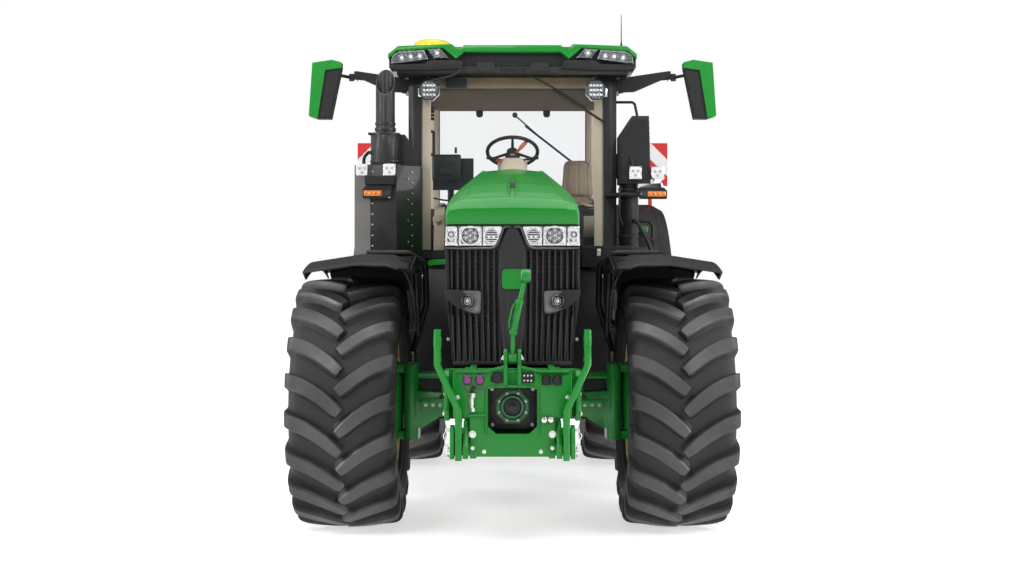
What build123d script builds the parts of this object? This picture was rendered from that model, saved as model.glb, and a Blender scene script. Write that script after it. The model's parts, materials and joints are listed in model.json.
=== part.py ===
"""Row-crop farm tractor with a front hitch.

Millimetres. +Z is up, the tractor faces -Y, and +X is the tractor's left side.
The origin is on the ground, at the middle of the overall length and width.
"""

import os
from math import cos, degrees, radians, sin, sqrt

from build123d import *

os.makedirs("parts", exist_ok=True)

# ---------------------------------------------------------------- driving dimensions
# Clearances
seat_gap = 0.3          # between pieces that seat on each other on curved or moving faces
run_gap = 0.5           # at a pivot's or a hub's end faces
move_gap = 6.0          # between a moving piece and what it passes

# Wheelbase and axles
wheelbase = 2925.0
front_axle_y = -1505.0
rear_axle_y = front_axle_y + wheelbase

# Tyres and rims
front_tyre_d = 1580.0
front_tyre_w = 650.0
front_rim_d = 864.0
front_rim_w = 510.0
front_track = 2030.0
rear_tyre_d = 2020.0
rear_tyre_w = 710.0
rear_rim_d = 1067.0
rear_rim_w = 570.0
rear_track = 1890.0
front_lugs = 20
rear_lugs = 21
lug_depth = 50.0
rim_wall = 12.0
rim_flange = 25.0
disc_wall = 22.0
front_axle_z = front_tyre_d / 2
rear_axle_z = rear_tyre_d / 2
front_wheel_x = front_track / 2
rear_wheel_x = rear_track / 2

# Front axle, kingpins and hubs
kingpin_x = 780.0
kingpin_r = 85.0
kingpin_half_h = 185.0
yoke_ear = 50.0
front_flange_x = 955.0
front_hub_r = 150.0
axle_depth = 220.0

# Rear axle
rear_flange_x = 845.0
rear_trumpet_x = 600.0
rear_hub_r = 120.0

# Frame, engine and transmission
rail_inner_x = 240.0
rail_wall = 40.0
rail_bottom_z = 900.0
rail_top_z = 1050.0
frame_front_y = front_axle_y - 700.0
cab_front_y = rear_axle_y - 1625.0
engine_front_y = front_axle_y + 300.0
engine_rear_y = cab_front_y - 100.0
engine_top_z = 1640.0
transmission_rear_y = rear_axle_y - 330.0

# Hood
hood_half_w = 400.0
hood_wall = 14.0
nose_y = front_axle_y - 680.0
hood_rear_y = cab_front_y - 200.0
hood_pivot_y = cab_front_y - 250.0
hood_pivot_z = 2130.0
hinge_lug_x = 190.0
hinge_pin_r = 12.0

# Cab
cab_post = 90.0
cab_half_w = 765.0
cab_wall = 40.0
cab_floor_z = 1330.0
cab_sill_z = 1770.0
cab_ring_z = 2960.0
cab_roof_z = cab_ring_z + 80.0
b_post_y = cab_front_y + 850.0
cab_rear_y = cab_front_y + 1400.0
cab_rear_half_w = 700.0
glass_wall = 6.0
roof_half_w = 899.0
roof_top_z = cab_roof_z + 210.0
roof_front_y = cab_front_y - 180.0
roof_rear_y = cab_rear_y + 90.0

# Front hitch
hitch_front_y = front_axle_y - 980.0
hitch_plate_x = 206.0
hitch_plate = 36.0
hitch_face_wall = 20.0
hitch_bottom_z = 555.0
hitch_top_z = 1070.0
lift_pivot_y = front_axle_y - 900.0
lift_pivot_z = 660.0
fold_pivot_y = front_axle_y - 1045.0
fold_pivot_z = 605.0
fold_arm_top_z = 1290.0
top_link_y = front_axle_y - 925.0
top_link_z = 1120.0
pto_z = 841.0


# ---------------------------------------------------------------- shared operations
def save(piece, label):
    """Label a finished piece and write its STEP file."""
    piece.part.label = label
    export_step(piece.part, f"parts/{label}.step")


def block(x0, x1, y0, y1, z0, z1, mode=Mode.ADD):
    """Box between two opposite corners."""
    with Locations(((x0 + x1) / 2, (y0 + y1) / 2, (z0 + z1) / 2)):
        Box(abs(x1 - x0), abs(y1 - y0), abs(z1 - z0), mode=mode)


def along_x(points, x0, x1, mode=Mode.ADD, round_by=0):
    """Plate with a side outline of (y, z) points, from x0 to x1."""
    with BuildSketch(Plane.YZ.offset(x0)) as outline:
        with BuildLine():
            Polyline(*points, close=True)
        make_face()
        if round_by:
            fillet(outline.vertices(), round_by)
    extrude(outline.sketch, amount=x1 - x0, mode=mode)


def along_y(points, y0, y1, mode=Mode.ADD, round_by=0):
    """Bar with a front outline of (x, z) points, from y0 to y1."""
    with BuildSketch(Plane.XZ.offset(-y0)) as outline:
        with BuildLine():
            Polyline(*points, close=True)
        make_face()
        if round_by:
            fillet(outline.vertices(), round_by)
    extrude(outline.sketch, amount=y0 - y1, mode=mode)


def along_z(points, z0, z1, mode=Mode.ADD, round_by=0):
    """Slab with a plan outline of (x, y) points, from z0 to z1."""
    with BuildSketch(Plane.XY.offset(z0)) as outline:
        with BuildLine():
            Polyline(*points, close=True)
        make_face()
        if round_by:
            fillet(outline.vertices(), round_by)
    extrude(outline.sketch, amount=z1 - z0, mode=mode)


def rod(start, end, radius, mode=Mode.ADD):
    """Round bar between two points."""
    run = Vector(end) - Vector(start)
    with BuildSketch(Plane(origin=start, z_dir=run)) as section:
        Circle(radius)
    extrude(section.sketch, amount=run.length, mode=mode)


def tube(points, radius, bend):
    """Round bar bent along a route of points."""
    with BuildLine() as route:
        FilletPolyline(*points, radius=bend)
    with BuildSketch(Plane(origin=route.line @ 0, z_dir=route.line % 0)) as section:
        Circle(radius)
    sweep(section.sketch, path=route.line)


def turned(points, centre):
    """Solid turned about the X axis through centre, from (x, radius) points."""
    plane = Plane(origin=centre, x_dir=(1, 0, 0), z_dir=(0, -1, 0))
    with BuildSketch(plane) as outline:
        with BuildLine():
            Polyline(*points, close=True)
        make_face()
    revolve(outline.sketch, axis=Axis(centre, (1, 0, 0)))


# ---------------------------------------------------------------- wheels
def carcass(half, tyre_r, bead_half, bead_r, sides):
    """Tyre without its lugs, with flat facets, about the X axis."""
    # Columns: place across the tyre, radius to the middle of a facet
    stations = (
        (-bead_half, bead_r + rim_flange + seat_gap),
        (-half * 0.985, (bead_r + tyre_r) / 2 + 40),
        (-half * 0.84, tyre_r - 1.6 * lug_depth),
        (half * 0.84, tyre_r - 1.6 * lug_depth),
        (half * 0.985, (bead_r + tyre_r) / 2 + 40),
        (bead_half, bead_r + rim_flange + seat_gap),
    )
    rings = []
    for x, radius in stations:
        with BuildSketch(Plane.YZ.offset(x)) as ring:
            RegularPolygon(radius, sides, major_radius=False)
        rings.append(ring.sketch)
    loft(rings, ruled=True)
    with BuildSketch(Plane.YZ.offset(-half)) as bore:
        RegularPolygon(bead_r + seat_gap, sides, major_radius=False)
    extrude(bore.sketch, amount=2 * half, mode=Mode.SUBTRACT)


def lug_bar(half, tyre_r, hand):
    """One curved lug at the front of a tyre about the X axis, on its left or right half."""
    middle = 115.0
    outline = ((12, -15), (half + 1, 168), (half + 1, 252), (-22, 30))
    nose_r = sqrt(tyre_r**2 - (middle + 15) ** 2) + 4
    profile = (
        (-25, tyre_r - 1.9 * lug_depth), (-25, nose_r - 1), (half * 0.92, tyre_r - 36),
        (half, tyre_r - 2.4 * lug_depth), (half * 0.8, tyre_r - 2.4 * lug_depth),
    )
    with BuildPart(mode=Mode.PRIVATE) as bar:
        with BuildSketch(Plane(origin=(0, -tyre_r - 10, 0), x_dir=(1, 0, 0), z_dir=(0, -1, 0))) as plan:
            with BuildLine():
                Polyline(*[(hand * x, climb - middle) for x, climb in outline], close=True)
            make_face()
        extrude(plan.sketch, amount=-220)
        with BuildSketch(Plane(origin=(0, 0, 0), x_dir=(1, 0, 0), z_dir=(0, 0, -1))) as crown:
            with BuildLine():
                Polyline(*[(hand * x, radius) for x, radius in profile], close=True)
            make_face()
        extrude(crown.sketch, amount=300, both=True, mode=Mode.INTERSECT)
    return bar.part.rotate(Axis.X, -degrees(middle / tyre_r))


# Columns: position, axle y, tyre diameter, tyre width, rim diameter, rim width,
# wheel centre x, hub flange x, where the hub starts, hub radius, lugs on each half
wheel_table = (
    ("front", front_axle_y, front_tyre_d, front_tyre_w, front_rim_d, front_rim_w,
     front_wheel_x, front_flange_x, front_flange_x, front_hub_r, front_lugs),
    ("rear", rear_axle_y, rear_tyre_d, rear_tyre_w, rear_rim_d, rear_rim_w,
     rear_wheel_x, rear_flange_x, rear_trumpet_x, rear_hub_r, rear_lugs),
)

for (position, axle_y, tyre_d, tyre_w, rim_d, rim_w,
     wheel_x, flange_x, hub_x, hub_r, lugs) in wheel_table:
    for side, sign in (("left", 1), ("right", -1)):
        centre = (sign * wheel_x, axle_y, tyre_d / 2)
        half = rim_w / 2
        bead_r = rim_d / 2
        bars = []
        for hand in (1, -1):
            bar = lug_bar(tyre_w / 2, tyre_d / 2, hand)
            first = 0 if hand == sign else 0.5
            bars += [bar.rotate(Axis.X, -360 * (number + first) / lugs) for number in range(lugs)]
        with BuildPart() as tyre:
            with BuildPart(mode=Mode.PRIVATE) as round_tyre:
                carcass(tyre_w / 2, tyre_d / 2, half, bead_r, lugs)
                add(bars)
            with Locations(centre):
                add(round_tyre.part)
        save(tyre, f"{position}_tyre_{side}")

        # The disc runs from the hub flange out to the rim's middle.
        flange = sign * (flange_x - wheel_x)
        hub_start = sign * (hub_x + run_gap - wheel_x)
        disc = sign * disc_wall
        edge = sign * half
        barrel_r = bead_r - rim_wall
        with BuildPart() as rim:
            turned(
                (
                    (-half - rim_wall, bead_r + rim_flange),
                    (-half - rim_wall, barrel_r),
                    (half + rim_wall, barrel_r),
                    (half + rim_wall, bead_r + rim_flange),
                    (half + seat_gap, bead_r + rim_flange),
                    (half + seat_gap, bead_r),
                    (-half - seat_gap, bead_r),
                    (-half - seat_gap, bead_r + rim_flange),
                ),
                centre,
            )
            turned(
                (
                    (hub_start, 0),
                    (hub_start, hub_r),
                    (flange, hub_r),
                    (flange + disc, hub_r + 60),
                    (edge / 3, barrel_r + rim_wall / 2),
                    (edge / 3 + disc, barrel_r + rim_wall / 2),
                    (flange + 2 * disc, hub_r + 60),
                    (flange + 2 * disc, hub_r),
                    (flange + 6 * disc, hub_r * 0.7),
                    (flange + 6 * disc, 0),
                ),
                centre,
            )
        save(rim, f"{position}_rim_{side}")

# ---------------------------------------------------------------- front axle
ear_in = kingpin_half_h + run_gap
ear_out = ear_in + yoke_ear
yoke_x = kingpin_x - kingpin_r - 2 * move_gap
with BuildPart() as front_axle:
    # Beam that narrows beside the hitch and swells towards the yokes.
    along_y(
        (
            (-yoke_x + 60, front_axle_z - 150), (-yoke_x + 110, front_axle_z - 165),
            (-460, front_axle_z - 90), (-330, front_axle_z - 80), (-260, front_axle_z - 150),
            (260, front_axle_z - 150), (330, front_axle_z - 80), (460, front_axle_z - 90),
            (yoke_x - 110, front_axle_z - 165), (yoke_x - 60, front_axle_z - 150),
            (yoke_x - 60, front_axle_z + 75), (460, front_axle_z + 60),
            (-460, front_axle_z + 60), (-yoke_x + 60, front_axle_z + 75),
        ),
        front_axle_y - axle_depth / 2,
        front_axle_y + axle_depth / 2,
    )
    rod((0, front_axle_y - 170, front_axle_z - 45), (0, front_axle_y + 170, front_axle_z - 45), 155)
    for sign in (1, -1):
        # Upper arm and the ribs under the beam.
        block(sign * 310, sign * yoke_x, front_axle_y - 90, front_axle_y + 90,
              front_axle_z + 150, front_axle_z + 178)
        block(sign * 420, sign * 445, front_axle_y - 105, front_axle_y + 105,
              front_axle_z + 55, front_axle_z + 155)
        along_y(
            (
                (sign * 400, front_axle_z - 30), (sign * 560, front_axle_z - 60),
                (sign * 600, front_axle_z + 20), (sign * 400, front_axle_z + 20),
            ),
            front_axle_y - axle_depth / 2 - 18, front_axle_y - axle_depth / 2,
        )
    for sign in (1, -1):
        with BuildSketch(Plane.XY.offset(front_axle_z - ear_out)) as root:
            with Locations((sign * (yoke_x - 45), front_axle_y)):
                RectangleRounded(90, 230, 40)
        extrude(root.sketch, amount=2 * ear_out)
        for ear_z in (-ear_out, ear_in):
            block(sign * yoke_x, sign * kingpin_x, front_axle_y - 75, front_axle_y + 75,
                  front_axle_z + ear_z, front_axle_z + ear_z + yoke_ear)
            with Locations((sign * kingpin_x, front_axle_y, front_axle_z + ear_z + yoke_ear / 2)):
                Cylinder(75, yoke_ear)
save(front_axle, "front_axle")

# ---------------------------------------------------------------- knuckles and front fenders
fender_inner_x = 605.0
fender_outer_x = 1262.0
fender_z = 1725.0
fender_bend_r = 2000.0
fender_half_angle = 15.0
fender_wall = 10.0
stay_x = 655.0

for side, sign in (("left", 1), ("right", -1)):
    with BuildPart() as knuckle:
        with Locations((sign * kingpin_x, front_axle_y, front_axle_z)):
            Cylinder(kingpin_r, 2 * kingpin_half_h)
        rod((sign * kingpin_x, front_axle_y, front_axle_z),
            (sign * (front_flange_x - 60), front_axle_y, front_axle_z), 120)
        rod((sign * (front_flange_x - 60), front_axle_y, front_axle_z),
            (sign * front_flange_x, front_axle_y, front_axle_z), front_hub_r)
        # Arm behind the kingpin that carries the fender.
        block(sign * (kingpin_x - 30), sign * (kingpin_x + 30), front_axle_y + 60, front_axle_y + 290,
              front_axle_z + 90, front_axle_z + 150)
        block(sign * (stay_x - 30), sign * (kingpin_x - 30), front_axle_y + 230, front_axle_y + 290,
              front_axle_z + 90, front_axle_z + 150)
    save(knuckle, f"knuckle_{side}")

    hinge_z = fender_z - fender_bend_r
    tilt = radians(-fender_half_angle)
    start_plane = Plane(
        origin=(0, front_axle_y, hinge_z), x_dir=(1, 0, 0), z_dir=(0, -cos(tilt), -sin(tilt))
    )
    with BuildPart() as fender:
        with BuildSketch(start_plane) as section:
            with BuildLine():
                Polyline(
                    (sign * fender_inner_x, fender_bend_r - 90),
                    (sign * (fender_inner_x + 35), fender_bend_r - 40),
                    (sign * (fender_inner_x + 150), fender_bend_r - 4),
                    (sign * (fender_outer_x - 310), fender_bend_r),
                    (sign * fender_outer_x, fender_bend_r - 48),
                    (sign * (fender_outer_x - 16), fender_bend_r - 95),
                    (sign * (fender_outer_x - 16 - fender_wall), fender_bend_r - 93),
                    (sign * (fender_outer_x - fender_wall - 3), fender_bend_r - 46 - fender_wall),
                    (sign * (fender_outer_x - 312), fender_bend_r - fender_wall),
                    (sign * (fender_inner_x + 152), fender_bend_r - fender_wall - 4),
                    (sign * (fender_inner_x + 41), fender_bend_r - 40 - fender_wall),
                    (sign * (fender_inner_x + fender_wall), fender_bend_r - 94),
                    close=True,
                )
            make_face()
        revolve(section.sketch, axis=Axis((0, front_axle_y, hinge_z), (1, 0, 0)),
                revolution_arc=2 * fender_half_angle)
        # Pressed ribs under the skin.
        for rib_y in (-330, -110, 110, 330):
            rib_z = hinge_z + sqrt(fender_bend_r**2 - rib_y**2) - fender_wall
            block(sign * (fender_inner_x + 160), sign * (fender_outer_x - 320),
                  front_axle_y + rib_y - 14, front_axle_y + rib_y + 14, rib_z - 16, rib_z + 4)
        # The inner corners are cut back to pass the hood at full lock.
        for end in (1, -1):
            along_z(
                (
                    (sign * (fender_inner_x - 10), front_axle_y + end * 400),
                    (sign * (fender_inner_x + 130), front_axle_y + end * 560),
                    (sign * (fender_inner_x - 10), front_axle_y + end * 560),
                ),
                1400, 1900, Mode.SUBTRACT,
            )
        # Bent tube from the knuckle's arm to the fender's underside.
        tube(
            (
                (sign * stay_x, front_axle_y + 260, front_axle_z + 150),
                (sign * stay_x, front_axle_y + 260, front_axle_z + 300),
                (sign * (fender_inner_x - 45), front_axle_y + 170, 1400),
                (sign * (fender_inner_x - 45), front_axle_y + 60, fender_z - 60),
                (sign * (fender_inner_x + 60), front_axle_y + 10, fender_z + 6),
                (sign * (fender_outer_x - 330), front_axle_y + 10, fender_z + 6),
            ),
            20, 55,
        )
    save(fender, f"front_fender_{side}")

# ---------------------------------------------------------------- frame
rail_outer_x = rail_inner_x + rail_wall
frame_rear_y = engine_rear_y + 60
with BuildPart() as frame:
    for sign in (1, -1):
        block(sign * rail_inner_x, sign * rail_outer_x, frame_front_y, frame_rear_y,
              rail_bottom_z, rail_top_z)
        # Saddle plates in front of and behind the axle beam.
        for end in (1, -1):
            near = front_axle_y + end * axle_depth / 2
            block(sign * 160, sign * rail_outer_x, near, near + end * 40,
                  front_axle_z - 60, rail_bottom_z)
    block(-rail_outer_x, rail_outer_x, frame_front_y - 30, frame_front_y, 600, rail_top_z)
    block(-rail_inner_x, rail_inner_x, frame_front_y, engine_front_y - 20,
          rail_bottom_z, rail_bottom_z + 30)
save(frame, "chassis_frame")

with BuildPart() as cooling:
    block(-310, 310, front_axle_y - 480, front_axle_y + 200, rail_top_z, 1790)
save(cooling, "cooling_pack")

with BuildPart() as engine:
    block(-rail_inner_x, rail_inner_x, engine_front_y, engine_rear_y, 740, engine_top_z)
save(engine, "engine_block")

with BuildPart() as transmission:
    along_x(
        (
            (engine_rear_y, 640),
            (transmission_rear_y, 560),
            (transmission_rear_y, 1290),
            (engine_rear_y, 1250),
        ),
        -rail_inner_x, rail_inner_x,
    )
save(transmission, "transmission")

with BuildPart() as rear_axle:
    block(-rail_inner_x - 10, rail_inner_x + 10, transmission_rear_y, rear_axle_y + 330, 560, 1320)
    for sign in (1, -1):
        with BuildSketch(Plane.YZ.offset(sign * (rail_inner_x + 10))) as root_ring:
            with Locations((rear_axle_y, rear_axle_z)):
                Circle(230)
        with BuildSketch(Plane.YZ.offset(sign * (rear_trumpet_x - 60))) as tip_ring:
            with Locations((rear_axle_y, rear_axle_z)):
                Circle(140)
        loft([root_ring.sketch, tip_ring.sketch])
        rod((sign * (rear_trumpet_x - 60), rear_axle_y, rear_axle_z),
            (sign * rear_trumpet_x, rear_axle_y, rear_axle_z), 150)
save(rear_axle, "rear_axle")

# ---------------------------------------------------------------- hood
# Columns: y, then half-width and z of the lower edge, the shoulder's two corners and the
# top's edge, and z of the ridge
hood_sections = (
    (nose_y, 386, 1893, 386, 1945, 374, 1972, 300, 1984, 1990),
    (nose_y + 45, 395, 1885, 396, 1965, 384, 2012, 290, 2038, 2050),
    (front_axle_y - 350, 402, 1860, 402, 1990, 368, 2070, 262, 2136, 2152),
    (front_axle_y + 200, 405, 1800, 405, 2035, 362, 2135, 240, 2222, 2242),
    (hood_rear_y, 410, 1700, 410, 2110, 352, 2230, 225, 2332, 2354),
)


def hood_skin(inset):
    """Body of the hood, all its faces moved in by inset."""
    rings = []
    for y, low_x, low_z, side_x, side_z, corner_x, corner_z, top_x, top_z, ridge_z in hood_sections:
        corners = (
            (low_x - inset, low_z), (side_x - inset, side_z - inset / 2),
            (corner_x - inset, corner_z - inset), (top_x, top_z - inset),
        )
        with BuildSketch(Plane.XZ.offset(-y)) as ring:
            with BuildLine():
                Polyline(*corners, (0, ridge_z - inset), *[(-x, z) for x, z in reversed(corners)],
                         close=True)
            make_face()
        rings.append(ring.sketch)
    return rings


with BuildPart() as hood_shell:
    loft(hood_skin(0), ruled=True)
    loft(hood_skin(hood_wall), ruled=True, mode=Mode.SUBTRACT)
    extrude(hood_skin(0)[0], amount=-hood_wall)
    for sign in (1, -1):
        # Hinge lugs under the rear edge.
        block(sign * hinge_lug_x, sign * (hinge_lug_x + 30), hood_pivot_y - 22, hood_pivot_y + 22,
              hood_pivot_z - 22, hood_pivot_z + 204)
    rod((-hinge_lug_x - 40, hood_pivot_y, hood_pivot_z), (hinge_lug_x + 40, hood_pivot_y, hood_pivot_z),
        hinge_pin_r + seat_gap, Mode.SUBTRACT)
save(hood_shell, "hood_shell")

# Grille: a bowed panel with ribs, a V-shaped column and a fog lamp pod on each side
grille_bottom_z = 1062.0
grille_top_z = 1765.0
grille_back_y = nose_y + 150
grille_bow = 75.0
rib_count = 21
rib_pitch = 36.0
lamp_bottom_z = 1768.0
lamp_top_z = 1879.0


def bow_y(x):
    """Front of the bowed grille at a place across it."""
    return nose_y + 26 + grille_bow * (x / hood_half_w) ** 2


bow_points = [(x, bow_y(x)) for x in (-400, -320, -220, -100, 100, 220, 320, 400)]
with BuildPart() as grille:
    with BuildPart(mode=Mode.PRIVATE) as panel:
        along_z(
            ((-400, grille_back_y), *[(x, y + 26) for x, y in bow_points], (400, grille_back_y)),
            grille_bottom_z, grille_top_z,
        )
        for number in range(rib_count):
            x = (number - (rib_count - 1) / 2) * rib_pitch
            block(x - 7, x + 7, bow_y(x), bow_y(x) + 40, grille_bottom_z, grille_top_z)
        # Frame round the panel.
        along_z(
            (*[(x, y - 6) for x, y in bow_points], *[(x, y + 30) for x, y in reversed(bow_points)]),
            grille_bottom_z, grille_bottom_z + 22,
        )
        along_z(
            (*[(x, y - 10) for x, y in bow_points], *[(x, y + 30) for x, y in reversed(bow_points)]),
            grille_top_z - 22, grille_top_z,
        )
        for sign in (1, -1):
            # Side rails and the fog lamp pods.
            block(sign * 372, sign * 400, bow_y(386) - 8, grille_back_y, grille_bottom_z, grille_top_z)
            with BuildSketch(Plane.XZ.offset(-(nose_y + 26))) as pod:
                with BuildLine():
                    Polyline(
                        (sign * 400, 1508), (sign * 192, 1502), (sign * 182, 1490), (sign * 184, 1372),
                        (sign * 200, 1360), (sign * 250, 1370), (sign * 330, 1404), (sign * 388, 1452),
                        (sign * 400, 1478), close=True,
                    )
                make_face()
                with Locations((sign * 264, 1440)):
                    Circle(38, mode=Mode.SUBTRACT)
            extrude(pod.sketch, amount=-60)
            rod((sign * 264, nose_y + 42, 1440), (sign * 264, nose_y + 100, 1440), 32)
        # Column that opens downward from between the lamps, with its raised edges.
        along_y(
            (
                (-82, grille_top_z), (-62, 1330), (-44, grille_bottom_z + 10),
                (44, grille_bottom_z + 10), (62, 1330), (82, grille_top_z),
            ),
            nose_y + 18, nose_y + 60,
        )
        block(-52, 52, nose_y + 8, nose_y + 20, 1510, 1632)
        # The panel narrows towards its foot.
        for sign in (1, -1):
            along_y(
                (
                    (sign * 352, grille_bottom_z - 5), (sign * 366, 1200), (sign * 400, 1480),
                    (sign * 430, 1480), (sign * 430, grille_bottom_z - 5),
                ),
                nose_y - 20, grille_back_y + 10, Mode.SUBTRACT,
            )
    add(panel.part)
    # Backing and brow of the headlamps, up to the hood.
    along_y(
        (
            (-398, grille_top_z), (398, grille_top_z), (398, 1871), (372, 1871), (372, 1890),
            (-372, 1890), (-372, 1871), (-398, 1871),
        ),
        nose_y + 70, grille_back_y,
    )
    block(-365, 365, nose_y + hood_wall + seat_gap, nose_y + 70, 1884, 1922)
    along_y(
        ((-82, grille_top_z), (-22, 1886), (22, 1886), (82, grille_top_z)), nose_y + 18, nose_y + 70,
    )
save(grille, "grille")

# Columns: corners of each lamp's front in (x, z), and middle and radius of its reflector
lamp_table = (
    (((58, lamp_top_z), (172, lamp_top_z), (172, lamp_bottom_z), (98, lamp_bottom_z)), (122, 1824), 40),
    (((182, lamp_top_z), (312, lamp_top_z), (316, lamp_bottom_z), (182, lamp_bottom_z)), (248, 1827), 52),
    (((324, lamp_top_z), (392, lamp_top_z), (396, lamp_bottom_z), (328, lamp_bottom_z)), (358, 1830), 24),
)
with BuildPart() as headlamps:
    for sign in (1, -1):
        for corners, (eye_x, eye_z), eye_r in lamp_table:
            along_y([(sign * x, z) for x, z in corners], nose_y + 14, nose_y + 69.8)
            with BuildSketch(Plane.XZ.offset(-(nose_y + 10))) as mouth:
                with Locations((sign * eye_x, eye_z)):
                    Circle(eye_r)
            extrude(mouth.sketch, amount=-26, mode=Mode.SUBTRACT, taper=12)
        # Band that joins the three lamps.
        block(sign * 98, sign * 392, nose_y + 50, nose_y + 69.8, lamp_bottom_z, lamp_top_z - 8)
save(headlamps, "headlamps")

with BuildPart() as hood_sides:
    for sign in (1, -1):
        along_x(
            (
                (grille_back_y, 1085),
                (hood_rear_y, 1300),
                (hood_rear_y, 1699),
                (front_axle_y + 150, 1799),
                (grille_back_y, 1860),
            ),
            sign * (hood_half_w - 55), sign * (hood_half_w - 35),
        )
save(hood_sides, "hood_side_screens")

# ---------------------------------------------------------------- front hitch
hitch_rear_y = frame_front_y - 30
lift_shaft_r = 30.0
fold_pin_r = 20.0
top_pin_r = 12.5
arm_plate = 30.0
clevis_x = 30.0
clevis_wall = 20.0
plate_outer_x = hitch_plate_x + hitch_plate
arm_x = plate_outer_x + move_gap
arm_outer_x = arm_x + arm_plate
link_x = arm_outer_x + move_gap
link_wall = 36.0
link_lean = 118.0
arm_cheek_x = link_x + link_wall + move_gap
arm_cheek_outer_x = arm_cheek_x + 24
hitch_wing_x = 335.0
hitch_side_x = 390.0
plate_back_y = hitch_front_y + hitch_face_wall + seat_gap
with BuildPart() as hitch:
    for sign in (1, -1):
        block(sign * hitch_plate_x, sign * plate_outer_x, plate_back_y, hitch_rear_y,
              hitch_bottom_z, hitch_top_z)
        block(sign * plate_outer_x, sign * hitch_wing_x, lift_pivot_y + 60, hitch_rear_y,
              hitch_bottom_z, hitch_bottom_z + 150)
        # Side cheek and the plate that carries it.
        along_x(
            (
                (hitch_rear_y, 760), (lift_pivot_y + 20, 760), (lift_pivot_y - 30, 820),
                (lift_pivot_y - 30, 1020), (lift_pivot_y, 1050), (hitch_rear_y, 1050),
            ),
            sign * (hitch_side_x - 30), sign * hitch_side_x,
        )
        block(sign * plate_outer_x, sign * (hitch_side_x - 30), hitch_rear_y - 24, hitch_rear_y, 760, 1050)
    rod((-plate_outer_x, lift_pivot_y, lift_pivot_z), (plate_outer_x, lift_pivot_y, lift_pivot_z),
        lift_shaft_r + seat_gap, Mode.SUBTRACT)
    block(-hitch_plate_x, hitch_plate_x, plate_back_y, hitch_rear_y, 570, 600)
    block(-hitch_plate_x, hitch_plate_x, hitch_rear_y - 30, hitch_rear_y, 600, 711)
    # Front plate with wings, two windows, the top link's notch and the shaft's mouth.
    with BuildSketch(Plane.XZ.offset(-hitch_front_y)) as face:
        with BuildLine():
            Polyline(
                (-plate_outer_x, 568), (plate_outer_x, 568), (plate_outer_x, 790), (hitch_wing_x, 790),
                (hitch_wing_x, 1040), (hitch_wing_x - 16, 1059), (150, 1059), (44, 1085), (28, 1085),
                (28, 975), (-28, 975), (-28, 1085), (-44, 1085), (-150, 1059),
                (-hitch_wing_x + 16, 1059), (-hitch_wing_x, 1040), (-hitch_wing_x, 790),
                (-plate_outer_x, 790), close=True,
            )
        make_face()
        with BuildLine():
            Polyline((-138, 957), (138, 957), (138, 738), (93, 698), (-93, 698), (-138, 738), close=True)
        make_face(mode=Mode.SUBTRACT)
        for sign in (1, -1):
            with BuildLine():
                Polyline((sign * 122, 1030), (sign * 50, 1048), (sign * 50, 990), (sign * 122, 990),
                         close=True)
            make_face(mode=Mode.SUBTRACT)
    extrude(face.sketch, amount=-hitch_face_wall)
    for sign in (1, -1):
        # Gusset from the wing back to the side plate, and the ears of the top link.
        block(sign * (plate_outer_x + seat_gap), sign * hitch_wing_x, hitch_front_y + hitch_face_wall,
              lift_pivot_y + 10, 1020, 1040)
        along_x(
            (
                (plate_back_y, hitch_top_z - 12),
                (top_link_y + 45, hitch_top_z - 12),
                (top_link_y + 45, hitch_top_z),
                (top_link_y + 30, top_link_z + 40),
                (top_link_y + 15, top_link_z + 55),
                (top_link_y - 15, top_link_z + 55),
                (top_link_y - 30, top_link_z + 40),
                (plate_back_y, hitch_top_z),
            ),
            sign * clevis_x, sign * (clevis_x + clevis_wall),
        )
    block(-hitch_plate_x + seat_gap, hitch_plate_x - seat_gap, plate_back_y, top_link_y + 45,
          hitch_top_z - 30, hitch_top_z - 11)
    rod((-clevis_x - clevis_wall, top_link_y, top_link_z), (clevis_x + clevis_wall, top_link_y, top_link_z),
        top_pin_r)
save(hitch, "front_hitch_frame")

pto_r = 17.45
with BuildPart() as front_pto:
    # Housing, flange, collar and shaft, each seated on the one behind it.
    block(-140, 140, hitch_rear_y - 120, hitch_rear_y, 712, 959)
    rod((0, hitch_rear_y - 120 - seat_gap, pto_z), (0, hitch_rear_y - 140, pto_z), 90)
    rod((0, hitch_rear_y - 140 - seat_gap, pto_z), (0, hitch_rear_y - 150, pto_z), 71)
    rod((0, hitch_rear_y - 150 - seat_gap, pto_z), (0, hitch_rear_y - 226, pto_z), pto_r)
save(front_pto, "front_pto")

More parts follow.
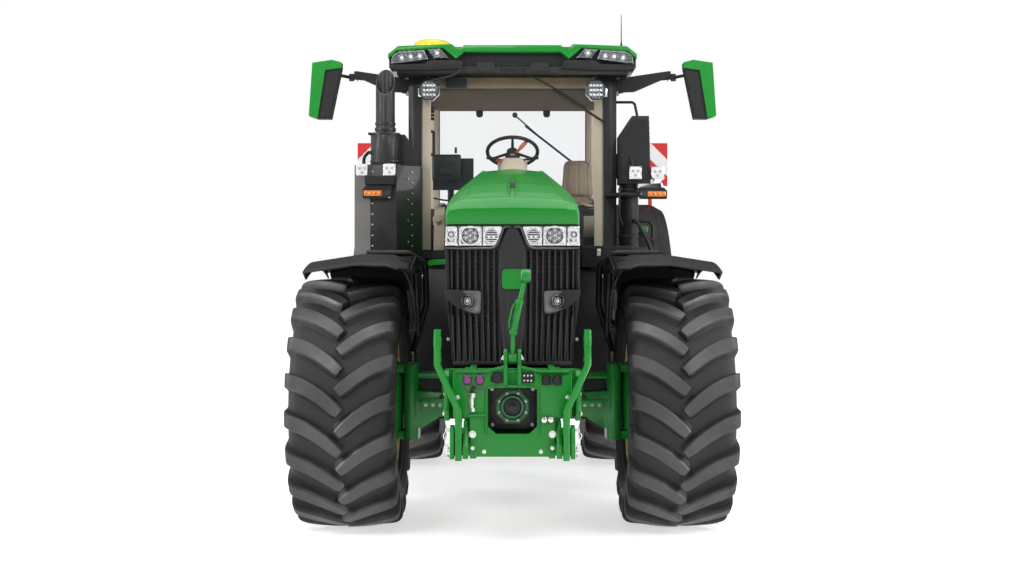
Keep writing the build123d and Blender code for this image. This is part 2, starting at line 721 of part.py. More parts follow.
with BuildPart() as lift_arms:
    rod((-arm_outer_x, lift_pivot_y, lift_pivot_z), (arm_outer_x, lift_pivot_y, lift_pivot_z),
        lift_shaft_r)
    for sign in (1, -1):
        along_x(
            (
                (lift_pivot_y + 45, lift_pivot_z - 30),
                (fold_pivot_y + 20, fold_pivot_z - 35),
                (fold_pivot_y - 35, fold_pivot_z - 35),
                (fold_pivot_y - 35, fold_pivot_z + 35),
                (lift_pivot_y - 60, lift_pivot_z + 85),
                (lift_pivot_y - 30, lift_pivot_z + 105),
                (lift_pivot_y + 25, lift_pivot_z + 105),
                (lift_pivot_y + 45, lift_pivot_z + 80),
            ),
            sign * arm_x, sign * arm_outer_x,
        )
        # Outer cheek of the fork, and the web behind the link.
        along_x(
            (
                (fold_pivot_y - 38, fold_pivot_z - 37), (fold_pivot_y + 60, fold_pivot_z - 37),
                (fold_pivot_y + 115, fold_pivot_z - 5), (fold_pivot_y + 115, fold_pivot_z + 95),
                (fold_pivot_y + 60, fold_pivot_z + 145), (fold_pivot_y - 15, fold_pivot_z + 145),
                (fold_pivot_y - 38, fold_pivot_z + 125),
            ),
            sign * arm_cheek_x, sign * arm_cheek_outer_x,
        )
        block(sign * arm_outer_x, sign * arm_cheek_x, fold_pivot_y + 75, fold_pivot_y + 113,
              fold_pivot_z, fold_pivot_z + 92)
        rod((sign * arm_x, fold_pivot_y, fold_pivot_z),
            (sign * arm_cheek_outer_x, fold_pivot_y, fold_pivot_z),
            fold_pin_r + seat_gap, Mode.SUBTRACT)
save(lift_arms, "front_lift_arms")

hook_z = fold_arm_top_z - 70
for side, sign in (("left", 1), ("right", -1)):
    with BuildPart() as fold_link:
        along_y(
            (
                (sign * link_x, fold_pivot_z - 45),
                (sign * (link_x + link_wall), fold_pivot_z - 45),
                (sign * (link_x + link_wall), 835),
                (sign * (link_x + link_wall + link_lean), 1090),
                (sign * (link_x + link_wall + link_lean), fold_arm_top_z),
                (sign * (link_x + link_lean), fold_arm_top_z),
                (sign * (link_x + link_lean), 1090),
                (sign * link_x, 835),
            ),
            fold_pivot_y - 45, fold_pivot_y + 45,
        )
        rod((sign * arm_x, fold_pivot_y, fold_pivot_z),
            (sign * arm_cheek_outer_x, fold_pivot_y, fold_pivot_z), fold_pin_r)
        rod((sign * (link_x + link_lean - 5), fold_pivot_y, hook_z),
            (sign * (link_x + link_wall + link_lean + 5), fold_pivot_y, hook_z),
            18.55, Mode.SUBTRACT)
    save(fold_link, f"front_link_{side}")

top_eye_y = top_link_y - 60.0
top_eye = (75.0, top_eye_y, 1590.0)
with BuildPart() as top_link:
    rod((-clevis_x + move_gap, top_link_y, top_link_z), (clevis_x - move_gap, top_link_y, top_link_z), 30)
    for start, end, radius in (
        ((0, top_link_y - 3, top_link_z + 20), (2, top_link_y - 18, 1265), 13),
        ((2, top_link_y - 17, 1255), (42, top_link_y - 42, 1455), 20),
        ((41, top_link_y - 41, 1450), top_eye, 13),
    ):
        rod(start, end, radius)
    rod((top_eye[0] - 25, top_eye_y, top_eye[2]), (top_eye[0] + 25, top_eye_y, top_eye[2]), 38)
    rod((-clevis_x, top_link_y, top_link_z), (clevis_x, top_link_y, top_link_z),
        top_pin_r + seat_gap, Mode.SUBTRACT)
    rod((top_eye[0] - 30, top_eye_y, top_eye[2]), (top_eye[0] + 30, top_eye_y, top_eye[2]),
        15.95, Mode.SUBTRACT)
save(top_link, "front_top_link")

# ---------------------------------------------------------------- rear hitch
rear_face_y = rear_axle_y + 330
rear_link_x = 300.0
rear_link_w = 40.0
rear_link_z = 600.0
rear_link_pivot_y = rear_face_y - 60
rear_link_tip_y = rear_face_y + 800
rear_link_spread = 482.0
rocker_y = rear_axle_y + 230
rocker_z = 1375.0
rocker_r = 45.0
rocker_arm_x = 300.0
rocker_plate = 30.0
rocker_pin_y = rocker_y + 380
rocker_pin_z = 1400.0
lift_rod_x = 366.0
housing_half_w = rail_inner_x + 10
with BuildPart() as rear_hitch:
    for sign in (1, -1):
        # Bearing block of the rocker shaft, on the housing's top.
        block(sign * 150, sign * housing_half_w, rocker_y - 80, rocker_y + 80, 1320, rocker_z + 70)
        # Pin of the lower link, in the housing's side.
        rod((sign * housing_half_w, rear_link_pivot_y, rear_link_z),
            (sign * (rear_link_x + rear_link_w + 10), rear_link_pivot_y, rear_link_z), 18)
        # Ears of the top link.
        block(sign * clevis_x, sign * (clevis_x + clevis_wall), rear_face_y, rear_face_y + 80, 1090, 1190)
    rod((-housing_half_w, rocker_y, rocker_z), (housing_half_w, rocker_y, rocker_z),
        rocker_r + seat_gap, Mode.SUBTRACT)
    block(-clevis_x - clevis_wall, clevis_x + clevis_wall, rear_face_y, rear_face_y + 15, 1090, 1190)
    rod((-clevis_x - clevis_wall, rear_face_y + 50, 1150), (clevis_x + clevis_wall, rear_face_y + 50, 1150),
        top_pin_r)
save(rear_hitch, "rear_hitch_frame")

with BuildPart() as rocker:
    rod((-rocker_arm_x - 30, rocker_y, rocker_z), (rocker_arm_x + rocker_plate, rocker_y, rocker_z), rocker_r)
    for sign in (1, -1):
        along_x(
            (
                (rocker_y - 60, rocker_z - 50),
                (rocker_y - 60, rocker_z + 60),
                (rocker_pin_y + 35, rocker_pin_z + 30),
                (rocker_pin_y + 35, rocker_pin_z - 30),
            ),
            sign * rocker_arm_x, sign * (rocker_arm_x + rocker_plate),
        )
        rod((sign * (rocker_arm_x + rocker_plate), rocker_pin_y, rocker_pin_z),
            (sign * (lift_rod_x + 20), rocker_pin_y, rocker_pin_z), 14)
save(rocker, "rear_rocker")

rod_bottom_z = rear_link_z
with BuildPart() as lift_rods:
    for sign in (1, -1):
        rod((sign * lift_rod_x, rocker_pin_y, rocker_pin_z),
            (sign * lift_rod_x, rocker_pin_y, rod_bottom_z), 16)
        for eye_z in (rocker_pin_z, rod_bottom_z):
            rod((sign * (lift_rod_x - 18), rocker_pin_y, eye_z),
                (sign * (lift_rod_x + 18), rocker_pin_y, eye_z), 28)
        rod((sign * (lift_rod_x - 20), rocker_pin_y, rocker_pin_z),
            (sign * (lift_rod_x + 20), rocker_pin_y, rocker_pin_z), 14 + seat_gap, Mode.SUBTRACT)
save(lift_rods, "rear_lift_rods")

with BuildPart() as rear_links:
    for sign in (1, -1):
        tip_in = sign * (rear_link_spread - rear_link_w / 2)
        tip_out = sign * (rear_link_spread + rear_link_w / 2)
        along_z(
            (
                (sign * rear_link_x, rear_link_pivot_y - 40),
                (sign * (rear_link_x + rear_link_w), rear_link_pivot_y - 40),
                (sign * (rear_link_x + rear_link_w), rocker_pin_y + 60),
                (tip_out, rear_link_tip_y - 90),
                (tip_out, rear_link_tip_y + 45),
                (tip_in, rear_link_tip_y + 45),
                (tip_in, rear_link_tip_y - 80),
                (sign * rear_link_x, rocker_pin_y + 70),
            ),
            rear_link_z - 40, rear_link_z + 40,
        )
        rod((sign * (rear_link_x + rear_link_w), rocker_pin_y, rear_link_z),
            (sign * (lift_rod_x - 18 - run_gap), rocker_pin_y, rear_link_z), 14)
        rod((sign * (rear_link_x - 5), rear_link_pivot_y, rear_link_z),
            (sign * (rear_link_x + rear_link_w + 5), rear_link_pivot_y, rear_link_z),
            18 + seat_gap, Mode.SUBTRACT)
        rod((tip_in - sign * 5, rear_link_tip_y, rear_link_z),
            (tip_out + sign * 5, rear_link_tip_y, rear_link_z),
            18.55, Mode.SUBTRACT)
save(rear_links, "rear_lower_links")

rear_top_eye = (0, rear_face_y + 720, 1290)
with BuildPart() as rear_top:
    rod((-clevis_x + move_gap, rear_face_y + 50, 1150), (clevis_x - move_gap, rear_face_y + 50, 1150), 28)
    rod((0, rear_face_y + 75, 1155), rear_top_eye, 20)
    rod((-25, rear_top_eye[1], rear_top_eye[2]), (25, rear_top_eye[1], rear_top_eye[2]), 38)
    rod((-clevis_x, rear_face_y + 50, 1150), (clevis_x, rear_face_y + 50, 1150),
        top_pin_r + seat_gap, Mode.SUBTRACT)
    rod((-30, rear_top_eye[1], rear_top_eye[2]), (30, rear_top_eye[1], rear_top_eye[2]), 15.95, Mode.SUBTRACT)
save(rear_top, "rear_top_link")

with BuildPart() as rear_pto:
    block(-110, 110, rear_face_y, rear_face_y + 60, 650, 900)
    rod((0, rear_face_y + 60, 780), (0, rear_face_y + 150, 780), 22.2)
save(rear_pto, "rear_pto")

drawbar_top_z = 465.0
with BuildPart() as drawbar:
    block(-45, 45, rear_axle_y - 250, rear_face_y + 420, drawbar_top_z - 45, drawbar_top_z)
    block(-90, 90, rear_face_y - 160, rear_face_y - 60, drawbar_top_z, 560)
    block(-60, 60, rear_axle_y - 250, rear_axle_y - 180, drawbar_top_z, 560)
    with Locations((0, rear_face_y + 370, drawbar_top_z - 22.5)):
        Cylinder(20, 60, mode=Mode.SUBTRACT)
save(drawbar, "drawbar")

# ---------------------------------------------------------------- tanks, steps and rear fenders
tank_front_y = cab_front_y - 280
tank_rear_y = rear_axle_y - rear_tyre_d / 2 - 85
tank_outer_x = 800.0
tank_top_z = 1200.0
with BuildPart() as tanks:
    for sign in (1, -1):
        along_y(
            (
                (sign * rail_outer_x, 560), (sign * (tank_outer_x - 70), 560),
                (sign * (tank_outer_x - 20), 580), (sign * tank_outer_x, 630),
                (sign * tank_outer_x, tank_top_z - 70), (sign * (tank_outer_x - 20), tank_top_z - 20),
                (sign * (tank_outer_x - 70), tank_top_z), (sign * rail_outer_x, tank_top_z),
            ),
            tank_front_y, tank_rear_y,
        )
        # Splash shield on the tank's front edge.
        along_y(
            (
                (sign * 440, 1100), (sign * 700, 1100), (sign * 700, 1560), (sign * 640, 1630),
                (sign * 440, 1630),
            ),
            tank_front_y, tank_front_y + 12,
        )
save(tanks, "side_tanks")

step_count = 4
step_bottom_z = 430.0
step_rise = 260.0
with BuildPart() as steps:
    for y in (tank_front_y + 60, tank_front_y + 480):
        block(tank_outer_x, tank_outer_x + 250, y, y + 12, step_bottom_z, step_bottom_z + 3.4 * step_rise)
    for number in range(step_count):
        z = step_bottom_z + number * step_rise
        block(tank_outer_x + 10, tank_outer_x + 260, tank_front_y + 60, tank_front_y + 492, z, z + 30)
    # Tool box above the tank, on a post.
    block(490, 860, cab_front_y - 330, cab_front_y - 5, 1645, 1790)
    block(560, 640, cab_front_y - 100, cab_front_y - 5, tank_top_z, 1645)
save(steps, "cab_steps")

fender_r = 1160.0
fender_skin = 14.0
rear_fender_in = 552.0
rear_fender_out = 1262.0
fender_start = 40.0
fender_sweep = 115.0
fender_top_r = fender_r + fender_skin
lip_x = rear_fender_out - 88
# Columns: x and radius of the corners of the inner wall, the crown and the chamfered lip
fender_side = (
    (rear_fender_in, 500), (rear_fender_in + fender_skin, 500),
    (rear_fender_in + fender_skin, fender_r - seat_gap), (rear_fender_in, fender_r - seat_gap),
)
fender_crown = (
    (rear_fender_in, fender_r), (rear_fender_in, fender_top_r), (lip_x, fender_top_r), (lip_x, fender_r),
)
fender_lip = (
    (lip_x + seat_gap, fender_r), (lip_x + seat_gap, fender_top_r),
    (rear_fender_out, fender_top_r - 50), (rear_fender_out, fender_r - 80),
    (rear_fender_out - fender_skin, fender_r - 80), (rear_fender_out - fender_skin, fender_top_r - 58),
)
with BuildPart() as rear_fenders:
    for sign in (1, -1):
        angle = radians(fender_start)
        start = Plane(origin=(0, rear_axle_y, rear_axle_z), x_dir=(1, 0, 0),
                      z_dir=(0, sin(angle), cos(angle)))
        for outline in (fender_side, fender_crown, fender_lip):
            with BuildSketch(start) as section:
                with BuildLine():
                    Polyline(*[(sign * x, -radius) for x, radius in outline], close=True)
                make_face()
            revolve(section.sketch, axis=Axis((0, rear_axle_y, rear_axle_z), (-1, 0, 0)),
                    revolution_arc=fender_sweep)
save(rear_fenders, "rear_fenders")

# ---------------------------------------------------------------- cab
post_in_x = cab_half_w - cab_post
side_in_x = cab_half_w - cab_wall
door_front_y = cab_front_y + cab_post + move_gap
door_rear_y = b_post_y - move_gap
door_bottom_z = 1400.0
door_step_z = 1950.0
door_step_y = cab_front_y + 500.0
door_low_y = cab_front_y + 230.0
door_top_z = cab_ring_z - move_gap
b_post_w = 60.0
fender_seat_r = fender_top_r + seat_gap


door_outline = (
    (door_front_y, door_bottom_z),
    (door_low_y, door_bottom_z),
    (door_step_y, door_step_z),
    (door_rear_y, door_step_z),
    (door_rear_y, door_top_z),
    (door_front_y, door_top_z),
)
door_rail = 55.0


def side_outline(x, shrink):
    """Door outline on the plane at x, its edges moved in by shrink."""
    with BuildSketch(Plane.YZ.offset(x)) as outline:
        with BuildLine():
            Polyline(*door_outline, close=True)
        make_face()
        if shrink:
            offset(amount=-shrink, kind=Kind.INTERSECTION)
    return outline.sketch


def fender_arc_z(y):
    """Height of the rear fender's top at a place along the tractor."""
    return rear_axle_z + sqrt(fender_seat_r**2 - (y - rear_axle_y) ** 2)


with BuildPart() as cab_frame:
    for sign in (1, -1):
        block(sign * post_in_x, sign * cab_half_w, cab_front_y, cab_front_y + cab_post,
              cab_floor_z, cab_ring_z)
        along_x(
            (
                (b_post_y, fender_arc_z(b_post_y) + 2),
                (b_post_y + b_post_w, fender_arc_z(b_post_y + b_post_w) + 2),
                (b_post_y + b_post_w, cab_ring_z),
                (b_post_y, cab_ring_z),
            ),
            sign * (side_in_x - 20), sign * cab_half_w,
        )
        along_x(
            (
                (cab_rear_y - cab_post, fender_arc_z(cab_rear_y - cab_post) + 2),
                (cab_rear_y, fender_arc_z(cab_rear_y) + 2),
                (cab_rear_y, cab_ring_z),
                (cab_rear_y - cab_post, cab_ring_z),
            ),
            sign * (cab_rear_half_w - cab_post), sign * cab_rear_half_w,
        )
    with BuildSketch(Plane.XY.offset(cab_ring_z)) as ring:
        with BuildLine():
            Polyline(
                (-cab_half_w, cab_front_y), (cab_half_w, cab_front_y),
                (cab_half_w, b_post_y + b_post_w), (cab_rear_half_w, cab_rear_y),
                (-cab_rear_half_w, cab_rear_y), (-cab_half_w, b_post_y + b_post_w),
                close=True,
            )
        make_face()
        offset(amount=-70, mode=Mode.SUBTRACT)
    extrude(ring.sketch, amount=cab_roof_z - cab_ring_z)
    block(-post_in_x, post_in_x, cab_front_y, cab_front_y + 60, cab_sill_z - 60, cab_sill_z)
    for z in (2100, 2750):
        # Door hinge: a bracket on the post and an upright pin.
        block(cab_half_w, cab_half_w + 33, b_post_y + 2, b_post_y + 50, z - 40, z - 14 - run_gap)
        rod((cab_half_w + 20, b_post_y, z - 40), (cab_half_w + 20, b_post_y, z - 14 - run_gap), 13)
        rod((cab_half_w + 20, b_post_y, z - 20), (cab_half_w + 20, b_post_y, z + 40), 8)
save(cab_frame, "cab_frame")

tub_half_w = rear_fender_in - seat_gap
rear_wall_z = cab_sill_z + 410.0
with BuildPart() as cab_body:
    # Floor, firewall, inner walls beside the fenders, and rear wall.
    block(-tub_half_w, tub_half_w, cab_front_y, cab_rear_y, cab_floor_z, cab_floor_z + 40)
    block(-post_in_x, post_in_x, cab_front_y + 10, cab_front_y + 50, cab_floor_z, cab_sill_z - 60)
    block(-tub_half_w, tub_half_w, cab_rear_y - 40, cab_rear_y, cab_floor_z + 40, rear_wall_z)
    for sign in (1, -1):
        block(sign * (tub_half_w - 30), sign * tub_half_w, cab_front_y + 500, cab_rear_y - 40,
              cab_floor_z + 40, rear_wall_z - 50)
        # Floor's outer front corner and the side panel below the door.
        block(sign * tub_half_w, sign * side_in_x, cab_front_y + cab_post, cab_front_y + 480,
              cab_floor_z, cab_floor_z + 40)
        with BuildSketch(Plane.YZ.offset(sign * side_in_x)) as panel:
            with BuildLine():
                Polyline(
                    (door_front_y - move_gap, cab_floor_z),
                    (b_post_y, cab_floor_z),
                    (b_post_y, door_step_z),
                    (door_front_y - move_gap, door_step_z),
                    close=True,
                )
            make_face()
            with Locations((rear_axle_y, rear_axle_z)):
                Circle(fender_seat_r, mode=Mode.SUBTRACT)
        extrude(panel.sketch, amount=sign * cab_wall)
        extrude(side_outline(sign * side_in_x, -move_gap), amount=sign * cab_wall, mode=Mode.SUBTRACT)
    # Bracket that carries the hood's hinge bar.
    for sign in (1, -1):
        along_x(
            (
                (cab_front_y + 10, 1560),
                (cab_front_y + 10, 1700),
                (cab_front_y - 1, 1700),
                (hood_pivot_y + 25, hood_pivot_z + 15),
                (hood_pivot_y - 20, hood_pivot_z + 15),
                (hood_pivot_y - 20, hood_pivot_z - 60),
            ),
            sign * 120, sign * 150,
        )
    rod((-hinge_lug_x - 30, hood_pivot_y, hood_pivot_z), (hinge_lug_x + 30, hood_pivot_y, hood_pivot_z),
        hinge_pin_r)
save(cab_body, "cab_body")



# The door clears its frame all round; the fixed window on the right fills it.
hinge_x = cab_half_w + 20
hinge_heights = (2100.0, 2750.0)
door_pin_r = 8.0
with BuildPart() as door:
    extrude(side_outline(side_in_x, 0), amount=cab_wall)
    extrude(side_outline(side_in_x, door_rail), amount=cab_wall, mode=Mode.SUBTRACT)
    for z in hinge_heights:
        block(cab_half_w, cab_half_w + 7, b_post_y - 60, b_post_y - 12, z - 14, z + 40)
        block(cab_half_w + 7, cab_half_w + 33, b_post_y - 60, b_post_y, z - 14, z + 40)
        rod((hinge_x, b_post_y, z - 14), (hinge_x, b_post_y, z + 40), 13)
        rod((hinge_x, b_post_y, z - 20), (hinge_x, b_post_y, z + 50), door_pin_r + seat_gap, Mode.SUBTRACT)
save(door, "door_frame")
with BuildPart() as door_glass:
    extrude(side_outline(side_in_x + 15, door_rail + seat_gap), amount=glass_wall)
save(door_glass, "door_glass")
with BuildPart() as side_frame:
    extrude(side_outline(-side_in_x, seat_gap - move_gap), amount=-cab_wall)
    extrude(side_outline(-side_in_x, door_rail), amount=-cab_wall, mode=Mode.SUBTRACT)
save(side_frame, "side_window_frame")

with BuildPart() as windshield:
    block(-post_in_x + seat_gap, post_in_x - seat_gap, cab_front_y + 20, cab_front_y + 20 + glass_wall,
          cab_sill_z + seat_gap, cab_ring_z - seat_gap)
save(windshield, "windshield")

with BuildPart() as rear_glass:
    block(-cab_rear_half_w + cab_post + seat_gap, cab_rear_half_w - cab_post - seat_gap,
          cab_rear_y - 30, cab_rear_y - 30 + glass_wall, rear_wall_z + seat_gap, cab_ring_z - seat_gap)
    # Right side window, and the quarter windows behind it and behind the door.
    extrude(side_outline(-side_in_x - 15, door_rail + seat_gap), amount=-glass_wall)
    for sign in (1, -1):
        with BuildPart(mode=Mode.PRIVATE) as quarter:
            along_z(
                (
                    (sign * 742, b_post_y + b_post_w + seat_gap),
                    (sign * 692, cab_rear_y - cab_post - seat_gap),
                    (sign * (692 - glass_wall), cab_rear_y - cab_post - seat_gap),
                    (sign * (742 - glass_wall), b_post_y + b_post_w + seat_gap),
                ),
                1900, cab_ring_z - seat_gap,
            )
            rod((sign * 600, rear_axle_y, rear_axle_z), (sign * 800, rear_axle_y, rear_axle_z),
                fender_seat_r + seat_gap, Mode.SUBTRACT)
        add(quarter.part)
save(rear_glass, "cab_windows")

fascia_back_y = roof_front_y + 80
with BuildPart() as roof:
    along_y(
        (
            (-roof_half_w, cab_roof_z + 60), (roof_half_w, cab_roof_z + 60), (roof_half_w, 3184),
            (827, 3242), (437, roof_top_z), (-437, roof_top_z), (-827, 3242), (-roof_half_w, 3184),
        ),
        fascia_back_y, roof_rear_y,
    )
    # Fascia over the lamps, with a shallow dip on each side of its middle.
    fascia_top = ((roof_half_w, 3184), (827, 3242), (437, 3257), (386, 3210), (350, 3249))
    fascia_low = ((350, 3203), (408, 3152), (502, 3232), (834, 3208), (roof_half_w, 3155))
    along_y(
        (
            *[(-x, z) for x, z in fascia_top], *reversed(fascia_top),
            *reversed(fascia_low), *[(-x, z) for x, z in fascia_low],
        ),
        roof_front_y, fascia_back_y,
    )
save(roof, "roof")
with BuildPart() as lining:
    block(-roof_half_w + 60, roof_half_w - 60, roof_front_y + 30, roof_rear_y - 30,
          cab_roof_z, cab_roof_z + 60)
    for sign in (1, -1):
        # Lamp pod.
        along_y(
            (
                (sign * 357, 3085), (sign * 372, 3144), (sign * 560, 3146), (sign * 608, 3140),
                (sign * 640, 3115), (sign * 880, 3113), (sign * 895, 3095), (sign * 880, 3069),
                (sign * 600, 3069),
            ),
            roof_front_y + 15, fascia_back_y - seat_gap,
        )
save(lining, "roof_underside")

# ---------------------------------------------------------------- cab fittings
seat_y = cab_front_y + 800
deck_z = cab_floor_z + 40
with BuildPart() as seat:
    block(-200, 200, seat_y - 150, seat_y + 250, deck_z, deck_z + 420)
    block(-260, 260, seat_y - 230, seat_y + 260, deck_z + 420, deck_z + 540)
    block(-250, 250, seat_y + 200, seat_y + 330, deck_z + 540, 2450)
save(seat, "operator_seat")
with BuildPart() as buddy:
    block(380, tub_half_w - 31, seat_y + 60, seat_y + 400, deck_z, 2060)
    block(400, 670, seat_y + 40, seat_y + 400, 2150, 2210)
    block(400, 670, seat_y + 320, seat_y + 400, 2210, 2520)
    block(400, tub_half_w - 31, seat_y + 60, seat_y + 400, 2060, 2150)
save(buddy, "instructor_seat")
wheel_centre = (0, cab_front_y + 300, 2520)
wheel_plane = Plane(origin=wheel_centre, x_dir=(1, 0, 0), z_dir=(0, 0.5, 0.866))
with BuildPart() as console:
    along_x(
        (
            (cab_front_y + 60, deck_z),
            (cab_front_y + 340, deck_z),
            (cab_front_y + 330, 2250),
            (cab_front_y + 200, 2440),
            (cab_front_y + 60, 2300),
        ),
        -110, 110,
    )
    # Column up to the wheel's hub.
    rod((0, cab_front_y + 215, 2373), wheel_plane.offset(-12.4).origin, 22)
save(console, "steering_console")
with BuildPart() as steering_wheel:
    # Grip with flat facets: a ring of 24 sides with its edges chamfered.
    with BuildSketch(wheel_plane.offset(-14)) as grip:
        RegularPolygon(204, 24)
        RegularPolygon(176, 24, mode=Mode.SUBTRACT)
    extrude(grip.sketch, amount=28)
    chamfer(steering_wheel.faces().filter_by(Axis(wheel_centre, wheel_plane.z_dir)).edges(), 8)
    with BuildSketch(wheel_plane.offset(-12)) as spokes:
        Circle(45)
        for angle in (90, 210, 330):
            with Locations((95 * cos(radians(angle)), 95 * sin(radians(angle)))):
                Rectangle(190, 34, rotation=angle)
    extrude(spokes.sketch, amount=20)
save(steering_wheel, "steering_wheel")
with BuildPart() as side_console:
    block(-tub_half_w + 31, -300, cab_front_y + 560, cab_front_y + 1300, deck_z, 2080)
    block(-500, -460, cab_front_y + 480, cab_front_y + 700, 2080, 2300)
    block(-610, -300, cab_front_y + 400, cab_front_y + 479, 2240, 2480)
    block(-500, -460, cab_front_y + 479, cab_front_y + 520, 2240, 2300)
save(side_console, "side_console")

# ---------------------------------------------------------------- outside the cab
with BuildPart() as treatment:
    along_z(
        (
            (-1120, cab_front_y - 350),
            (-1000, cab_front_y - 380),
            (-820, cab_front_y - 380),
            (-660, cab_front_y - 240),
            (-660, cab_front_y - 10),
            (-1120, cab_front_y - 10),
        ),
        1680, 2370,
    )
    block(-780, -400, cab_front_y - 120, cab_front_y - 20, tank_top_z, 1680)
save(treatment, "aftertreatment_box")
stack_x = -910.0
stack_y = cab_front_y - 265.0
with BuildPart() as stack:
    rod((stack_x, stack_y, 2370), (stack_x, stack_y, 2600), 104)
    rod((stack_x, stack_y, 2600), (stack_x, stack_y, 3070), 68)
    rod((stack_x, stack_y, 2618), (stack_x, stack_y, 2640), 76)
    rod((stack_x, stack_y, 2660), (stack_x, stack_y, 3080), 62, Mode.SUBTRACT)
    # The outlet is cut obliquely, open to the front.
    along_x(
        ((stack_y - 69, 2865), (stack_y + 69, 3071), (stack_y + 69, 3100), (stack_y - 69, 3100)),
        stack_x - 80, stack_x + 80, Mode.SUBTRACT,
    )
save(stack, "exhaust_stack")
with BuildPart() as intake:
    along_y(
        ((cab_half_w + 8, 2250), (1000, 2250), (988, 2740), (866, 2740), (cab_half_w + 8, 2600)),
        cab_front_y - 160, cab_front_y + 60,
    )
    block(cab_half_w, cab_half_w + 8, cab_front_y + 10, cab_front_y + 60, 2300, 2480)
    rod((850, cab_front_y - 60, 1790), (850, cab_front_y - 60, 2250), 70)
    # Grab handle from the post to the housing's top.
    tube(
        (
            (cab_half_w, cab_front_y + 30, 2862), (900, cab_front_y + 30, 2862),
            (925, cab_front_y + 30, 2735),
        ),
        10, 30,
    )
save(intake, "intake_housing")
mirror_y = cab_front_y - 420
with BuildPart() as mirrors:
    for sign in (1, -1):
        along_y(
            (
                (sign * 1408, 3082), (sign * 1271, 3103), (sign * 1204, 3085), (sign * 1204, 3050),
                (sign * 1278, 2690), (sign * 1373, 2689), (sign * 1433, 2709),
            ),
            mirror_y, mirror_y + 80,
        )
        # Tapered arm on the post, then a thin rod.
        along_y(
            (
                (sign * cab_half_w, 2945), (sign * cab_half_w, 3030), (sign * 862, 3030),
                (sign * 890, 3052), (sign * 1200, 3058), (sign * 1200, 3034), (sign * 900, 3008),
                (sign * 850, 2955),
            ),
            cab_front_y + 25, cab_front_y + 55,
        )
        tube(
            (
                (sign * 1190, cab_front_y + 40, 3046),
                (sign * 1255, cab_front_y - 60, 3046),
                (sign * 1300, mirror_y + 60, 3040),
            ),
            12, 40,
        )
save(mirrors, "mirrors")

box_front_y = cab_front_y - 380
housing_front_y = cab_front_y - 160
with BuildPart() as cab_lamps:
    for sign in (1, -1):
        # Two lamps in the roof's corner.
        for corners in (
            ((863, 3178), (820, 3202), (639, 3215), (612, 3149), (820, 3119), (877, 3119)),
            ((615, 3217), (520, 3224), (461, 3158), (567, 3155)),
        ):
            along_y([(sign * x, z) for x, z in corners], roof_front_y + 8, fascia_back_y)
        # Eight-sided work lamp and its bracket on the post.
        with BuildSketch(Plane.XZ.offset(-(cab_front_y - 95))) as lamp:
            with Locations((sign * 608, 2935)):
                RegularPolygon(80, 8, rotation=22.5)
        extrude(lamp.sketch, amount=-70)
        block(sign * 640, sign * 695, cab_front_y - 30, cab_front_y, 2895, 2955)
    # Lamps on the treatment box.
    block(-909, -824, box_front_y - 48, box_front_y, 2290, 2370)
    along_z(
        (
            (-1085, cab_front_y - 358.8), (-1030, cab_front_y - 372.6), (-1040, box_front_y - 40),
            (-1097, box_front_y - 24),
        ),
        2290, 2370,
    )
    block(-995, -862, box_front_y - 34, box_front_y, 2132, 2218)
    # Lamps on the intake housing and on the bar under it.
    block(842, 930, housing_front_y - 50, housing_front_y, 2280, 2370)
    block(905, 1090, housing_front_y + 10, housing_front_y + 50, 2215, 2250)
    block(1020, 1080, housing_front_y + 10, housing_front_y + 40, 2250, 2285)
    block(1003, 1095, housing_front_y - 30, housing_front_y + 40, 2280, 2370)
    block(920, 1080, housing_front_y - 30, housing_front_y + 48, 2140, 2216)
save(cab_lamps, "cab_lamps")

with BuildPart() as boards:
    for sign in (1, -1):
        block(sign * 1140, sign * 1300, cab_rear_y - 20, cab_rear_y - 8, 2330, 2690)
        block(sign * 1140, sign * 1170, cab_rear_y - 20, cab_rear_y + 10,
              fender_arc_z(cab_rear_y + 10) + 0.2, 2330)
save(boards, "warning_boards")

with BuildPart() as fittings:
    with Locations((-595, cab_front_y + 100, roof_top_z + 35)):
        Cylinder(135, 70)
    rod((800, cab_front_y, 3242.5), (800, cab_front_y, roof_top_z + 250), 5)
    block(785, 815, cab_front_y - 20, cab_front_y + 20, 3244, 3256)
save(fittings, "roof_fittings")
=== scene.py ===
"""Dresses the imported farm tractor: finishes, treads, lamps, trim, seats and a plain studio."""

import json
from math import copysign, cos, dist, exp, hypot, pi, radians, sin, sqrt

import bpy
import bmesh
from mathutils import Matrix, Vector


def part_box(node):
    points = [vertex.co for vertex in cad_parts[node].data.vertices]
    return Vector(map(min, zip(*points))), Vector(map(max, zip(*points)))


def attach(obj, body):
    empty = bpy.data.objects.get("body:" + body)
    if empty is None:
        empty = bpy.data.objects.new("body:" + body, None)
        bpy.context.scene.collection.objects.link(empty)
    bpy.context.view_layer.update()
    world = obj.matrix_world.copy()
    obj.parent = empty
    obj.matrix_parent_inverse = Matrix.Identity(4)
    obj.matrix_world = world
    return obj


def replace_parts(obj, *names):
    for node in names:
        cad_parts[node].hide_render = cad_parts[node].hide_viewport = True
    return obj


bl_info = {
    "name": "Farm Tractor",
    "version": (1, 0, 0),
    "blender": (4, 5, 0),
    "location": "View3D > Sidebar > Tractor",
    "description": "Adds the finishes, treads, lamps and trim of a row-crop farm tractor",
    "category": "Object",
}

